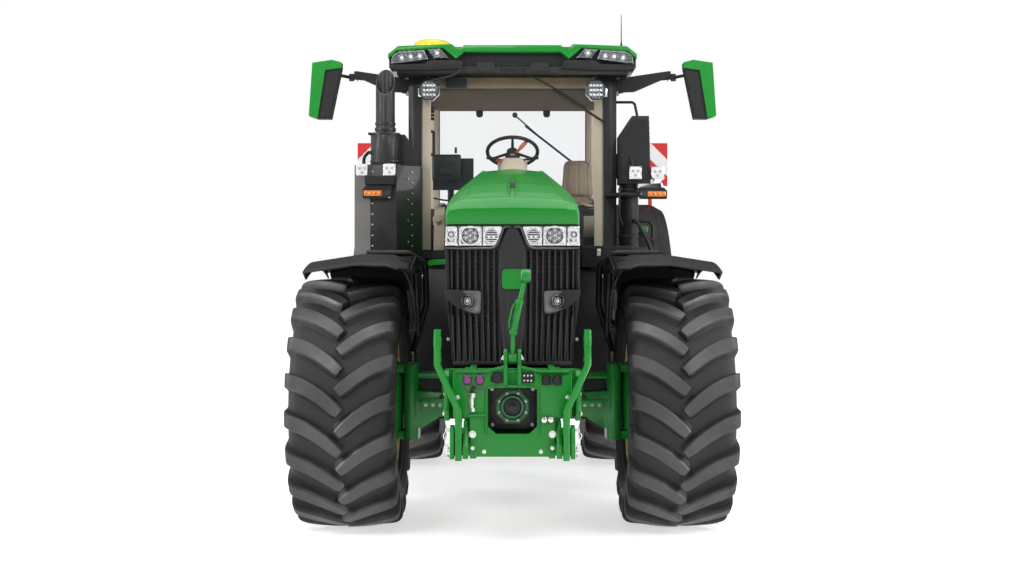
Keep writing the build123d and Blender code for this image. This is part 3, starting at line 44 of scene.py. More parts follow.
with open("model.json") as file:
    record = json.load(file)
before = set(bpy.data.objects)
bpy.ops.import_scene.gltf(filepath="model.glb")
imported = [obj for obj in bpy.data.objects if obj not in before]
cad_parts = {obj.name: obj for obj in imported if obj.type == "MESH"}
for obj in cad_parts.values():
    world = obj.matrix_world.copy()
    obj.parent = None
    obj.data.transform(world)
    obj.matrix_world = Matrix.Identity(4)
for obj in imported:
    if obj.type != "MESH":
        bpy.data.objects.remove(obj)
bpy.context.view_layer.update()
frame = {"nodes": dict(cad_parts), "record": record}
record = frame["record"]
pivot = {joint["name"]: joint["pos_m"] for joint in record["behaviour"]["joints"]}
FRONT = pivot["steer_left"][1]
REAR = pivot["roll_rear_left"][1]
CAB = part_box("windshield")[0][1] - 0.02
SIDES = (("left", 1), ("right", -1))
# Ways to face: the tractor's left side is at positive x, and its nose at the most negative y
LEFT, RIGHT, AHEAD, BEHIND, UP, DOWN = (1, 0, 0), (-1, 0, 0), (0, -1, 0), (0, 1, 0), (0, 0, 1), (0, 0, -1)


# ---- finishes
def new_material(name):
    """A new material with its tree, its surface and the object's own coordinates."""
    material = bpy.data.materials.new(name)
    material.use_nodes = True
    tree = material.node_tree
    return material, tree, tree.nodes["Principled BSDF"], tree.nodes.new("ShaderNodeTexCoord").outputs[
        "Object"]


def math_node(tree, operation, first, second=None):
    """Result of the given operation on a number from the tree and a second one, from the tree or fixed."""
    node = tree.nodes.new("ShaderNodeMath")
    node.operation = operation
    tree.links.new(first, node.inputs[0])
    if isinstance(second, float):
        node.inputs[1].default_value = second
    elif second:
        tree.links.new(second, node.inputs[1])
    return node.outputs[0]


def noise_node(tree, place, scale, detail=3.0):
    """Noise over the object's own coordinates."""
    node = tree.nodes.new("ShaderNodeTexNoise")
    node.inputs["Scale"].default_value = scale
    node.inputs["Detail"].default_value = detail
    tree.links.new(place, node.inputs["Vector"])
    return node.outputs["Fac"]


def ramp_node(tree, factor, low, high, start=0.3, end=0.7):
    """Colour that runs from low to high with factor."""
    node = tree.nodes.new("ShaderNodeValToRGB")
    node.color_ramp.elements[0].position = start
    node.color_ramp.elements[0].color = (*low, 1)
    node.color_ramp.elements[1].position = end
    node.color_ramp.elements[1].color = (*high, 1)
    tree.links.new(factor, node.inputs["Fac"])
    return node.outputs["Color"]


def range_node(tree, factor, low, high):
    """Number that runs from low to high with factor."""
    node = tree.nodes.new("ShaderNodeMapRange")
    node.inputs["From Min"].default_value = 0.3
    node.inputs["From Max"].default_value = 0.7
    node.inputs["To Min"].default_value = low
    node.inputs["To Max"].default_value = high
    tree.links.new(factor, node.inputs["Value"])
    return node.outputs["Result"]


def bump_node(tree, height, strength, distance, under=None):
    """Surface relief from height, laid over another relief where one is given."""
    node = tree.nodes.new("ShaderNodeBump")
    node.inputs["Strength"].default_value = strength
    node.inputs["Distance"].default_value = distance
    tree.links.new(height, node.inputs["Height"])
    if under:
        tree.links.new(under, node.inputs["Normal"])
    return node.outputs["Normal"]


class TractorPaint(bpy.types.PropertyGroup):
    """Colours of the painted pieces."""

    body: bpy.props.FloatVectorProperty(name="Body",
        description="Paint of the hood, the roof and the linkages", default=(0.007, 0.215, 0.022),
        subtype="COLOR", min=0, max=1)
    casting: bpy.props.FloatVectorProperty(name="Castings",
        description="Paint of the axles and the transmission", default=(0.008, 0.195, 0.028),
        subtype="COLOR", min=0, max=1)
    wheels: bpy.props.FloatVectorProperty(
        name="Wheels", description="Paint of the wheel discs", default=(0.86, 0.6, 0.016),
        subtype="COLOR", min=0, max=1)
    seats: bpy.props.FloatVectorProperty(
        name="Seats", description="Leather of the seats", default=(0.34, 0.27, 0.19),
        subtype="COLOR", min=0, max=1)


# Columns: colour, or its name in the paint group, roughness, its swing, metal, coat, shine level,
# mottle scale and amount, grain pattern, grain scale, grain strength, grain depth in metres
finish_table = {
    "green paint": ("body", 0.36, 0.05, 0, 0.18, 0.26, 2.5, 0.05, "noise", 260, 0.05, 0.0004),
    "green casting": ("casting", 0.4, 0.1, 0, 0.18, 0.32, 9, 0.16, "noise", 120, 0.35, 0.0012),
    "dark green casting": ((0.01, 0.13, 0.03), 0.46, 0.1, 0, 0.2, 0.4, 12, 0.22, "noise", 110, 0.4, 0.0012),
    "yellow paint": ("wheels", 0.34, 0.05, 0, 0.7, 0.5, 3, 0.06, "noise", 240, 0.05, 0.0004),
    "black paint": ((0.011, 0.011, 0.012), 0.5, 0.08, 0, 0.1, 0.35, 5, 0.2, "noise", 160, 0.1, 0.0005),
    "satin grey": ((0.105, 0.098, 0.095), 0.36, 0.08, 0, 0.2, 0.5, 5, 0.15, "noise", 160, 0.1, 0.0005),
    "black casting": ((0.012, 0.011, 0.011), 0.6, 0.12, 0, 0, 0.3, 12, 0.3, "noise", 90, 0.4, 0.0012),
    "moulded black": ((0.0075, 0.0075, 0.008), 0.52, 0.08, 0, 0, 0.3, 6, 0.2, "cells", 420, 0.2, 0.0004),
    "gloss black": ((0.006, 0.006, 0.007), 0.16, 0.04, 0, 0.8, 0.5, 4, 0.1, "noise", 200, 0.03, 0.0002),
    "perforated black": ((0.01, 0.01, 0.011), 0.46, 0.06, 0, 0, 0.4, 6, 0.1, "holes", 95, 0.9, 0.002),
    "grille bar": ((0.011, 0.011, 0.012), 0.36, 0.05, 0, 0.1, 0.4, 6, 0.1, "noise", 200, 0.08, 0.0003),
    "moulded grey": ((0.095, 0.096, 0.1), 0.42, 0.06, 0, 0, 0.4, 6, 0.1, "cells", 420, 0.15, 0.0004),
    "tyre rubber": ((0.0085, 0.008, 0.0078), 0.56, 0.08, 0, 0, 0.28, 7, 0.3, "noise", 75, 0.22, 0.0012),
    "hose rubber": ((0.009, 0.009, 0.009), 0.48, 0.08, 0, 0, 0.35, 20, 0.25, "weave", 300, 0.3, 0.0005),
    "beige plastic": ((0.6, 0.51, 0.39), 0.52, 0.06, 0, 0, 0.4, 5, 0.06, "cells", 380, 0.2, 0.0004),
    "beige leather": ("seats", 0.48, 0.06, 0, 0, 0.4, 14, 0.09, "cells", 210, 0.45, 0.0008),
    "headliner": ((0.2, 0.145, 0.092), 0.92, 0.03, 0, 0, 0.2, 9, 0.05, "noise", 420, 0.35, 0.0006),
    "zinc steel": ((0.58, 0.58, 0.56), 0.3, 0.08, 1, 0, 0.5, 30, 0.08, "noise", 300, 0.15, 0.0004),
    "worn steel": ((0.3, 0.29, 0.27), 0.42, 0.1, 1, 0, 0.5, 24, 0.2, "noise", 180, 0.3, 0.0006),
    "chrome": ((0.8, 0.8, 0.81), 0.12, 0.03, 1, 0, 0.5, 12, 0.02, "noise", 60, 0.05, 0.0003),
    "mirror silver": ((0.9, 0.91, 0.92), 0.03, 0.01, 1, 0, 0.5, 12, 0.01, "noise", 20, 0.01, 0.0001),
    "lit diode": ((0.86, 0.88, 0.9), 0.14, 0.04, 0, 1.0, 0.6, 30, 0.05, "cells", 260, 0.4, 0.0006),
    "white plastic": ((0.78, 0.78, 0.77), 0.32, 0.05, 0, 0.3, 0.5, 8, 0.04, "cells", 300, 0.08, 0.0003),
    "lens grey": ((0.4, 0.42, 0.45), 0.16, 0.04, 0, 0.8, 0.6, 20, 0.1, "cells", 260, 0.3, 0.0006),
    "orange lens": ((0.72, 0.19, 0.01), 0.22, 0.04, 0, 0.8, 0.5, 30, 0.15, "cells", 160, 0.4, 0.001),
    "red lens": ((0.52, 0.012, 0.01), 0.22, 0.04, 0, 0.8, 0.5, 30, 0.15, "cells", 160, 0.4, 0.001),
    "dome yellow": ((0.88, 0.68, 0.008), 0.3, 0.05, 0, 0.5, 0.5, 5, 0.05, "noise", 200, 0.05, 0.0003),
    "purple cap": ((0.23, 0.055, 0.21), 0.45, 0.06, 0, 0, 0.4, 20, 0.1, "noise", 200, 0.15, 0.0004),
    "orange knob": ((0.76, 0.14, 0.012), 0.35, 0.05, 0, 0.3, 0.5, 20, 0.08, "noise", 200, 0.1, 0.0004),
    "red knob": ((0.5, 0.01, 0.01), 0.35, 0.05, 0, 0.3, 0.5, 20, 0.08, "noise", 200, 0.1, 0.0004),
    "dark screen": ((0.012, 0.014, 0.018), 0.1, 0.03, 0, 0.6, 0.5, 3, 0.1, "noise", 60, 0.02, 0.0001),
    "oiled rod": ((0.72, 0.72, 0.73), 0.16, 0.05, 1, 0, 0.5, 14, 0.04, "noise", 400, 0.05, 0.0002),
}
glass_table = {
    "window glass": ((0.3, 0.36, 0.4), 0.03, 0.03),
    "rear window glass": ((0.3, 0.55, 0.75), 0.03, 0.05),
    "lamp glass": ((0.55, 0.6, 0.66), 0.04, 0.05),
}


def pattern_node(tree, place, pattern, scale):
    """Height of a surface's fine grain."""
    if pattern in ("cells", "holes"):
        node = tree.nodes.new("ShaderNodeTexVoronoi")
        node.inputs["Scale"].default_value = scale
        tree.links.new(place, node.inputs["Vector"])
        if pattern == "cells":
            return node.outputs["Distance"]
        node.inputs["Randomness"].default_value = 0
        return ramp_node(tree, node.outputs["Distance"], (0, 0, 0), (1, 1, 1), 0.28, 0.36)
    if pattern == "weave":
        node = tree.nodes.new("ShaderNodeTexMagic")
        node.turbulence_depth = 1
        node.inputs["Scale"].default_value = scale
        tree.links.new(place, node.inputs["Vector"])
        return node.outputs["Fac"]
    return noise_node(tree, place, scale, 2.0)


def finish(name):
    """The named finish, made when it is first asked for."""
    known = bpy.data.materials.get(name)
    if known:
        return known
    material, tree, surface, place = new_material(name)
    if name in glass_table:
        colour, roughness, alpha = glass_table[name]
        mottle = noise_node(tree, place, 3.0)
        low = [c * 0.94 for c in colour]
        tree.links.new(ramp_node(tree, mottle, low, colour), surface.inputs["Base Color"])
        surface.inputs["Roughness"].default_value = roughness
        surface.inputs["Alpha"].default_value = alpha
        surface.inputs["Specular IOR Level"].default_value = 0.8
        material.diffuse_color = (*colour, alpha)
        return material
    (colour, roughness, swing, metal, coat, shine, mottle_scale, mottle_amount,
     pattern, grain_scale, grain_strength, grain_depth) = finish_table[name]
    if isinstance(colour, str):
        colour = tuple(getattr(bpy.context.scene.tractor_paint, colour))
    mottle = noise_node(tree, place, mottle_scale)
    low = [c * (1 - mottle_amount) for c in colour]
    high = [min(c * (1 + mottle_amount), 1) for c in colour]
    tree.links.new(ramp_node(tree, mottle, low, high), surface.inputs["Base Color"])
    cloud = noise_node(tree, place, mottle_scale * 2.7)
    swung = range_node(tree, cloud, roughness - swing, roughness + swing)
    tree.links.new(swung, surface.inputs["Roughness"])
    grain = pattern_node(tree, place, pattern, grain_scale)
    relief = bump_node(tree, grain, grain_strength, grain_depth)
    tree.links.new(relief, surface.inputs["Normal"])
    surface.inputs["Metallic"].default_value = metal
    surface.inputs["Specular IOR Level"].default_value = shine
    surface.inputs["Coat Weight"].default_value = coat
    surface.inputs["Coat Roughness"].default_value = 0.06
    material.diffuse_color = (*colour, 1)
    return material


def tread_finish(end, centre, radius):
    """Rubber that is matt and dark between the lugs, as painted shade, and paler on their tops, partly as
    worn rubber and partly as a painted highlight.
    """
    material = finish("tyre rubber").copy()
    material.name = f"{end} tread rubber"
    tree = material.node_tree
    surface = tree.nodes["Principled BSDF"]
    place = tree.nodes.new("ShaderNodeTexCoord").outputs["Object"]
    flat = tree.nodes.new("ShaderNodeVectorMath")
    flat.operation = "MULTIPLY_ADD"
    flat.inputs[1].default_value = (0, 1, 1)
    flat.inputs[2].default_value = (0, -centre[1], -centre[2])
    tree.links.new(place, flat.inputs[0])
    length = tree.nodes.new("ShaderNodeVectorMath")
    length.operation = "LENGTH"
    tree.links.new(flat.outputs[0], length.inputs[0])
    depth = tree.nodes.new("ShaderNodeMapRange")
    depth.inputs["From Min"].default_value = radius - 0.062
    depth.inputs["From Max"].default_value = radius - 0.004
    tree.links.new(length.outputs["Value"], depth.inputs["Value"])
    cloud = noise_node(tree, place, 9, 5)
    # Painted shade and highlight: worn runs from the lugs' feet to their tops. It darkens the rubber in the
    # grooves as painted shade, and it pales the lug tops, partly as wear and partly as a painted highlight.
    worn = math_node(tree, "MULTIPLY", depth.outputs["Result"], range_node(tree, cloud, 0.7, 1.2))
    tree.links.new(ramp_node(tree, worn, (0.004, 0.0037, 0.0035), (0.05, 0.0475, 0.0455), 0.25, 1.0),
                   surface.inputs["Base Color"])
    rough = tree.nodes.new("ShaderNodeMapRange")
    rough.inputs["To Min"].default_value = 0.72
    rough.inputs["To Max"].default_value = 0.38
    tree.links.new(worn, rough.inputs["Value"])
    tree.links.new(rough.outputs["Result"], surface.inputs["Roughness"])
    surface.inputs["Specular IOR Level"].default_value = 0.55
    return material


def striped_board():
    """Red and white slanting stripes of a warning board."""
    material, tree, surface, place = new_material("striped board")
    split = tree.nodes.new("ShaderNodeSeparateXYZ")
    tree.links.new(place, split.inputs["Vector"])
    slant = math_node(tree, "ADD", math_node(tree, "ABSOLUTE", split.outputs["X"]), split.outputs["Z"])
    stripe = 0.07
    over = math_node(tree, "GREATER_THAN", math_node(tree, "PINGPONG", slant, stripe * 2), stripe)
    colours = ramp_node(tree, over, (0.62, 0.015, 0.02), (0.8, 0.8, 0.8), 0.45, 0.55)
    tree.links.new(colours, surface.inputs["Base Color"])
    cloud = noise_node(tree, place, 20)
    tree.links.new(range_node(tree, cloud, 0.3, 0.42), surface.inputs["Roughness"])
    grain = pattern_node(tree, place, "cells", 500)
    tree.links.new(bump_node(tree, grain, 0.2, 0.0003), surface.inputs["Normal"])
    return material


# ---- mesh helpers
class Form:
    """Points and faces of one piece, gathered shape by shape."""

    side = 1  # -1 while both_sides mirrors what is added to the right side

    def __init__(self):
        self.points = []
        self.faces = []

    def add(self, points, faces):
        """Adds a mesh given as points and faces."""
        start = len(self.points)
        self.points.extend(Vector((x * Form.side, y, z)) for x, y, z in points)
        self.faces.extend(tuple(start + i for i in face) for face in faces)

    def rings(self, rings, closed=True, caps=True):
        """Skin through rings of points; closed joins each ring's ends."""
        count = len(rings[0])
        faces = []
        for k in range(len(rings) - 1):
            for i in range(count if closed else count - 1):
                j = (i + 1) % count
                faces.append((k * count + i, k * count + j, (k + 1) * count + j, (k + 1) * count + i))
        if caps:
            faces.append(tuple(range(count - 1, -1, -1)))
            faces.append(tuple((len(rings) - 1) * count + i for i in range(count)))
        self.add([p for ring in rings for p in ring], faces)

    def prism(self, outline, axis, start, end):
        """Outline of two-number points drawn out along x, y or z."""
        def place(p, along):
            return {"x": (along, p[0], p[1]), "y": (p[0], along, p[1]), "z": (p[0], p[1], along)}[axis]
        self.rings([[place(p, start) for p in outline], [place(p, end) for p in outline]])

    def box(self, x0, x1, y0, y1, z0, z1):
        """Block between two opposite corners."""
        self.prism(((x0, y0), (x1, y0), (x1, y1), (x0, y1)), "z", z0, z1)

    def rod(self, start, end, radius, tip=None, sides=20):
        """Round bar between two points, with another radius at its tip where one is given."""
        start, end = Vector(start), Vector(end)
        across, over = cross_axes(end - start)
        tip = radius if tip is None else tip
        self.rings([
            [centre + r * (cos(a) * across + sin(a) * over)
             for a in (2 * pi * i / sides for i in range(sides))]
            for centre, r in ((start, radius), (end, tip))
        ])

    def turned(self, profile, centre, axis, sides=48):
        """Solid turned about an axis through centre, from (along, radius) points."""
        centre, axis = Vector(centre), Vector(axis).normalized()
        across, over = cross_axes(axis)
        self.rings([
            [centre + along * axis + max(r, 1e-5) * (cos(a) * across + sin(a) * over)
             for a in (2 * pi * i / sides for i in range(sides))]
            for along, r in profile
        ], caps=dist(profile[0], profile[-1]) > 1e-6)

    def pipe(self, route, radius, sides=14, bend=0.04):
        """Bent tube along a route of points, its corners rounded."""
        line = rounded_route([Vector(p) for p in route], bend)
        across, over = cross_axes(line[1] - line[0])
        rings = []
        for k, centre in enumerate(line):
            ahead = line[min(k + 1, len(line) - 1)] - line[max(k - 1, 0)]
            ahead.normalize()
            across = (across - across.dot(ahead) * ahead).normalized()
            over = ahead.cross(across)
            rings.append([
                centre + radius * (cos(a) * across + sin(a) * over)
                for a in (2 * pi * i / sides for i in range(sides))
            ])
        self.rings(rings)

    def bolt(self, centre, axis, size=0.012):
        """Hexagon bolt head on its washer."""
        centre, axis = Vector(centre), Vector(axis).normalized()
        self.rod(centre, centre + axis * size * 0.25, size * 1.25, sides=16)
        self.rod(centre + axis * size * 0.25, centre + axis * size * 0.9, size, size * 0.92, sides=6)

    def mesh(self, name):
        """Mesh of everything gathered."""
        mesh = bpy.data.meshes.new(name)
        mesh.from_pydata([tuple(p) for p in self.points], [], self.faces)
        work = bmesh.new()
        work.from_mesh(mesh)
        bmesh.ops.recalc_face_normals(work, faces=work.faces)
        work.to_mesh(mesh)
        work.free()
        return mesh


def both_sides():
    """Goes through both sides by name; what is given for the left one is mirrored on the right."""
    for name, Form.side in SIDES:
        yield name
    Form.side = 1


def cross_axes(axis):
    """Two unit vectors at right angles to axis and to each other."""
    axis = Vector(axis).normalized()
    helper = Vector((0, 0, 1)) if abs(axis.z) < 0.9 else Vector((1, 0, 0))
    across = axis.cross(helper).normalized()
    return across, axis.cross(across).normalized()


def rounded_route(route, bend):
    """Route with each inner corner turned into a short curve."""
    line = [route[0]]
    for before, corner, after in zip(route, route[1:], route[2:]):
        cut = min(bend, (corner - before).length * 0.45, (after - corner).length * 0.45)
        start = corner + (before - corner).normalized() * cut
        end = corner + (after - corner).normalized() * cut
        for i in range(7):
            t = i / 6
            line.append(start * (1 - t) ** 2 + corner * 2 * t * (1 - t) + end * t ** 2)
    line.append(route[-1])
    return line


# Looks by the slot they are listed under; the rest is black_plastic
slot_table = {
    "green_paint": ("green paint", "dark green casting", "green casting"),
    "steel": ("zinc steel", "worn steel", "oiled rod", "chrome", "mirror silver"),
    "lamp_glass": ("lit diode", "lamp glass", "white plastic", "lens grey", "orange lens", "red lens"),
    "black_paint": ("black paint", "satin grey"),
    "yellow_paint": ("dome yellow", "yellow paint"),
    "interior_plastic": ("beige plastic", "headliner", "orange knob", "red knob"),
    "glass": ("dark screen", "window glass"),
    "upholstery": ("beige leather",),
}


def piece(form, name, look, bevel=0.003, body="chassis", slot=None, angle=35):
    """Turns a gathered form into an object that rides on a body."""
    target = bpy.data.objects.new(name, form.mesh(name))
    bpy.context.collection.objects.link(target)
    target.data.materials.append(finish(look) if isinstance(look, str) else look)
    soften(target, bevel, angle)
    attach(target, body)
    if not slot:
        slot = next((key for key, looks in slot_table.items() if look in looks), "black_plastic")
    return target


def soften(target, bevel, angle=35):
    """Rounds an object's sharp edges a little and smooths the rest."""
    for polygon in target.data.polygons:
        polygon.use_smooth = True
    if bevel:
        edge = target.modifiers.new("edge", "BEVEL")
        edge.width = bevel
        edge.segments = 2
        edge.limit_method = "ANGLE"
        edge.angle_limit = radians(angle)
        edge.harden_normals = True
    else:
        target.data.set_sharp_from_angle(angle=radians(angle))


# ---- tyres
def curve_through(points, parts):
    """Smooth run of two-number points through the given ones."""
    run = []
    for k in range(len(points) - 1):
        a, b, c, d = (points[min(max(k + j, 0), len(points) - 1)] for j in (-1, 0, 1, 2))
        for i in range(parts):
            t = i / parts
            run.append(tuple(
                0.5 * (2 * q + (r - p) * t + (2 * p - 5 * q + 4 * r - s) * t ** 2
                       + (3 * q - p - 3 * r + s) * t ** 3)
                for p, q, r, s in zip(a, b, c, d)
            ))
    run.append(tuple(points[-1]))
    return run


# Columns: share of the half width, sideways climb in metres, drop of the lug's top,
# half its thickness, share of the half width at its foot, drop of its foot
lug_table = (
    (-0.015, 0.0, 0.001, 0.024, -0.015, 0.056),
    (0.05, 0.017, 0.0, 0.03, 0.05, 0.056),
    (0.18, 0.056, 0.002, 0.034, 0.18, 0.058),
    (0.34, 0.098, 0.005, 0.036, 0.34, 0.062),
    (0.5, 0.134, 0.009, 0.038, 0.5, 0.066),
    (0.65, 0.162, 0.014, 0.04, 0.65, 0.072),
    (0.8, 0.184, 0.021, 0.042, 0.8, 0.084),
    (0.91, 0.197, 0.031, 0.044, 0.88, 0.105),
    (0.97, 0.205, 0.05, 0.045, 0.925, 0.125),
    (0.995, 0.212, 0.085, 0.044, 0.945, 0.15),
    (0.998, 0.218, 0.125, 0.04, 0.962, 0.175),
    (0.992, 0.223, 0.165, 0.032, 0.972, 0.2),
    (0.975, 0.226, 0.195, 0.02, 0.965, 0.215),
)
lug_count = {"front": 20, "rear": 21}


def tyre_form(end, hub, rim_half, bead_r, radius, half, side, lug_scale):
    """Tyre with two rows of curved lugs that meet in a V."""
    form = Form()
    wall = radius - bead_r
    # Columns: share of the half width, drop from the tread
    shell = [
        (0.0, 0.05), (0.3, 0.053), (0.55, 0.058), (0.78, 0.072), (0.89, 0.098), (0.945, 0.14),
        (0.972, 0.19), (0.985, 0.24),
    ]
    outline = [(share * half, radius - drop) for share, drop in shell]
    outline += [
        (0.985 * half, bead_r + wall * 0.32), (0.95 * half, bead_r + wall * 0.2),
        ((rim_half + half) / 2 * 0.98, bead_r + wall * 0.11), (rim_half + 0.022, bead_r + 0.022),
        (rim_half + 0.004, bead_r + 0.004), (rim_half - 0.012, bead_r - 0.01),
    ]
    smooth = curve_through(outline, 4)
    loop = [(-x, r) for x, r in reversed(smooth[1:])] + smooth
    turns = 120
    rings = []
    for i in range(turns):
        angle = 2 * pi * i / turns
        rings.append([
            (hub[0] + x, hub[1] - r * cos(angle), hub[2] + r * sin(angle)) for x, r in loop
        ])
    form.rings(rings + [rings[0]], closed=False, caps=False)
    run = curve_through(lug_table, 2)
    count = lug_count[end]
    for hand in (1, -1):
        for number in range(count):
            shift = 0.5 if hand * side < 0 else 0
            base = 2 * pi * (number + shift) / count
            sections = []
            for k, (share, climb, drop, thick, foot_share, foot_drop) in enumerate(run):
                ahead = run[min(k + 1, len(run) - 1)]
                behind = run[max(k - 1, 0)]
                run_x = (ahead[0] - behind[0]) * half
                run_s = ahead[1] - behind[1]
                length = hypot(run_x, run_s)
                lean = min(max((0.86 - share) / 0.16, 0), 1)
                lean_x = -run_s / length * lean
                lean_s = sqrt(1 - lean_x ** 2)
                section = []
                for side_way, lift, spread in (
                    (-1, 0.0, 0.03), (-1, 0.22, 0.016), (-1, 0.5, 0.009), (-1, 0.9, 0.003),
                    (-1, 1.0, -0.004), (1, 1.0, -0.004), (1, 0.9, 0.003), (1, 0.5, 0.009),
                    (1, 0.22, 0.016), (1, 0.0, 0.03),
                ):
                    out = side_way * (thick * lug_scale + spread)
                    x = half * (foot_share + (share - foot_share) * lift) + lean_x * out
                    r = radius - (foot_drop + (drop - foot_drop) * lift)
                    turn = base + (climb + lean_s * out) / radius
                    section.append((hub[0] + hand * x, hub[1] - r * cos(turn), hub[2] + r * sin(turn)))
                sections.append(section)
            form.rings(sections, closed=True, caps=True)
    return form


class TractorTyres(bpy.types.PropertyGroup):
    """Sizes of the tyres."""

    lug_scale: bpy.props.FloatProperty(
        name="Lug Scale", description="Size of the tread lugs against the standard ones", default=1.0,
        min=0.8, max=1.1)


def add_tyres():
    """The four lugged tyres."""
    for end in ("front", "rear"):
        for name, side in SIDES:
            node = f"{end}_tyre_{name}"
            low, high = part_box(node)
            rim_low, rim_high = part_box(f"{end}_rim_{name}")
            hub = pivot[f"roll_{end}_{name}"]
            radius = (high[2] - low[2]) / 2
            half = (high[0] - low[0]) / 2
            centre = ((high[0] + low[0]) / 2, hub[1], hub[2])
            bead_r = (rim_high[2] - rim_low[2]) / 2
            rim_half = (rim_high[0] - rim_low[0]) / 2
            form = tyre_form(end, centre, rim_half, bead_r, radius, half, side,
                             bpy.context.scene.tractor_tyres.lug_scale)
            if name == "left":
                rubber = tread_finish(end, centre, radius)
            tyre = piece(form, f"{end}_tread_{name}", rubber, 0, f"wheel_{end}_{name}", "tyre", 38)
            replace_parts(tyre, node)


# ---- shared shapes
def disc(form, centre, axis, radius, depth, dome=0.0, sides=28):
    """Round cap with a domed face that looks along axis."""
    profile = [(0, radius), (depth * 0.7, radius), (depth, radius * 0.93)]
    profile += [(depth + dome * (1 - k ** 2), radius * 0.93 * k) for k in (0.8, 0.55, 0.3, 0.0)]
    form.turned([(0, 0)] + profile, centre, axis, sides)


def hoop(form, centre, axis, radius, thick, depth, sides=32):
    """Ring of a square section round an axis, its face at the end of depth."""
    form.turned(
        [(0, radius - thick), (depth, radius - thick), (depth, radius), (0, radius), (0, radius - thick)],
        centre, axis, sides)


def rounded(corners, cut, parts=3):
    """Outline with its corners rounded by cut."""
    line = []
    count = len(corners)
    for k in range(count):
        corner = Vector(corners[k])
        before = Vector(corners[k - 1])
        after = Vector(corners[(k + 1) % count])
        near = min(cut, (corner - before).length * 0.45, (after - corner).length * 0.45)
        start = corner + (before - corner).normalized() * near
        end = corner + (after - corner).normalized() * near
        for i in range(parts + 1):
            t = i / parts
            line.append(tuple(start * (1 - t) ** 2 + corner * 2 * t * (1 - t) + end * t ** 2))
    return line


def rounded_box(x0, x1, z0, z1, cut):
    """Rectangle with its corners rounded by cut."""
    return rounded([(x0, z0), (x1, z0), (x1, z1), (x0, z1)], cut)


def frame_strip(form, outer, inner, axis, start, end):
    """Flat frame between two outlines of as many points, drawn out along an axis."""
    def place(p, along):
        return {"x": (along, p[0], p[1]), "y": (p[0], along, p[1]), "z": (p[0], p[1], along)}[axis]
    rings = [
        [place(p, start) for p in outer], [place(p, end) for p in outer],
        [place(p, end) for p in inner], [place(p, start) for p in inner],
    ]
    form.rings(rings + [rings[0]], caps=False)


def shrunk(outline, by):
    """Outline moved in towards its middle by about a distance."""
    cx = sum(p[0] for p in outline) / len(outline)
    cz = sum(p[1] for p in outline) / len(outline)
    half_w = max(abs(p[0] - cx) for p in outline)
    half_h = max(abs(p[1] - cz) for p in outline)
    return [(cx + (p[0] - cx) * (1 - by / half_w), cz + (p[1] - cz) * (1 - by / half_h)) for p in outline]


def mirrored(outline, sign):
    """Outline on the side that sign gives."""
    return [(sign * x, z) for x, z in outline]


# ---- hood and nose
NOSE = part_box("hood_shell")[0][1]
# Columns: y, half-width and z of the top's edge, z of the ridge
hood_top_table = (
    (NOSE, 0.3, 1.984, 1.99),
    (NOSE + 0.045, 0.29, 2.038, 2.05),
    (FRONT - 0.35, 0.262, 2.136, 2.152),
    (FRONT + 0.2, 0.24, 2.222, 2.242),
    (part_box("hood_shell")[1][1], 0.225, 2.332, 2.354),
)


def hood_point(share, y, lift):
    """Place on the hood's top: share runs from the ridge, 0, to the top's edge, 1."""
    for low, high in zip(hood_top_table, hood_top_table[1:]):
        if y <= high[0] + 1e-6:
            break
    t = (y - low[0]) / (high[0] - low[0])
    half, edge_z, ridge_z = (low[k] + (high[k] - low[k]) * t for k in (1, 2, 3))
    return (share * half, y, ridge_z + (edge_z - ridge_z) * abs(share) + lift)


def add_hood():
    """The pressed panels, the spine's slot and the seal of the hood."""
    panels = Form()
    for _ in both_sides():
        stops = [NOSE + 0.075 + 0.045 * k for k in range(15)]
        rings = []
        for share in (0.1, 0.13, 0.35, 0.6, 0.85, 0.93, 0.96):
            edge = share in (0.1, 0.96)
            rings.append([hood_point(share, y, -0.004 if edge or y in (stops[0], stops[-1]) else 0.006)
                          for y in stops])
        panels.rings(rings, closed=False, caps=False)
        under = [[(p[0], p[1], p[2] - 0.008) for p in ring] for ring in rings]
        panels.rings(under, closed=False, caps=False)
    piece(panels, "hood_panels", "green paint", 0, "hood", angle=30)
    seal = Form()
    slot = rounded([(-0.013, NOSE + 0.245), (0.013, NOSE + 0.245), (0.01, NOSE + 0.36),
        (-0.01, NOSE + 0.36)], 0.01)
    seal.rings([[(x, y, hood_point(0, y, lift)[2]) for x, y in slot] for lift in (-0.03, 0.0045)])
    for _ in both_sides():
        # Rubber lip under the hood's front and side edges.
        seal.pipe([(0.02, NOSE + 0.012, 1.887), (0.378, NOSE + 0.014, 1.887),
                   (0.384, NOSE + 0.06, 1.876), (0.392, FRONT - 0.34, 1.854),
                   (0.395, FRONT + 0.2, 1.794)], 0.007, 8, 0.02)
        seal.pipe([hood_point(0.055, y, -0.0005) for y in (NOSE + 0.07, NOSE + 0.33, NOSE + 0.72)],
                  0.0022, 6, 0.02)
    piece(seal, "hood_seals", "moulded black", 0, "hood")


# ---- grille, head and fog lamps
lamp_corners = (
    ((0.058, 1.879), (0.172, 1.879), (0.172, 1.768), (0.098, 1.768)),
    ((0.182, 1.879), (0.312, 1.879), (0.316, 1.768), (0.182, 1.768)),
    ((0.324, 1.879), (0.392, 1.879), (0.396, 1.768), (0.328, 1.768)),
)
lamp_eyes = (((0.124, 1.824), 0.04, 5), ((0.248, 1.826), 0.053, 7), ((0.36, 1.832), 0.022, 1))


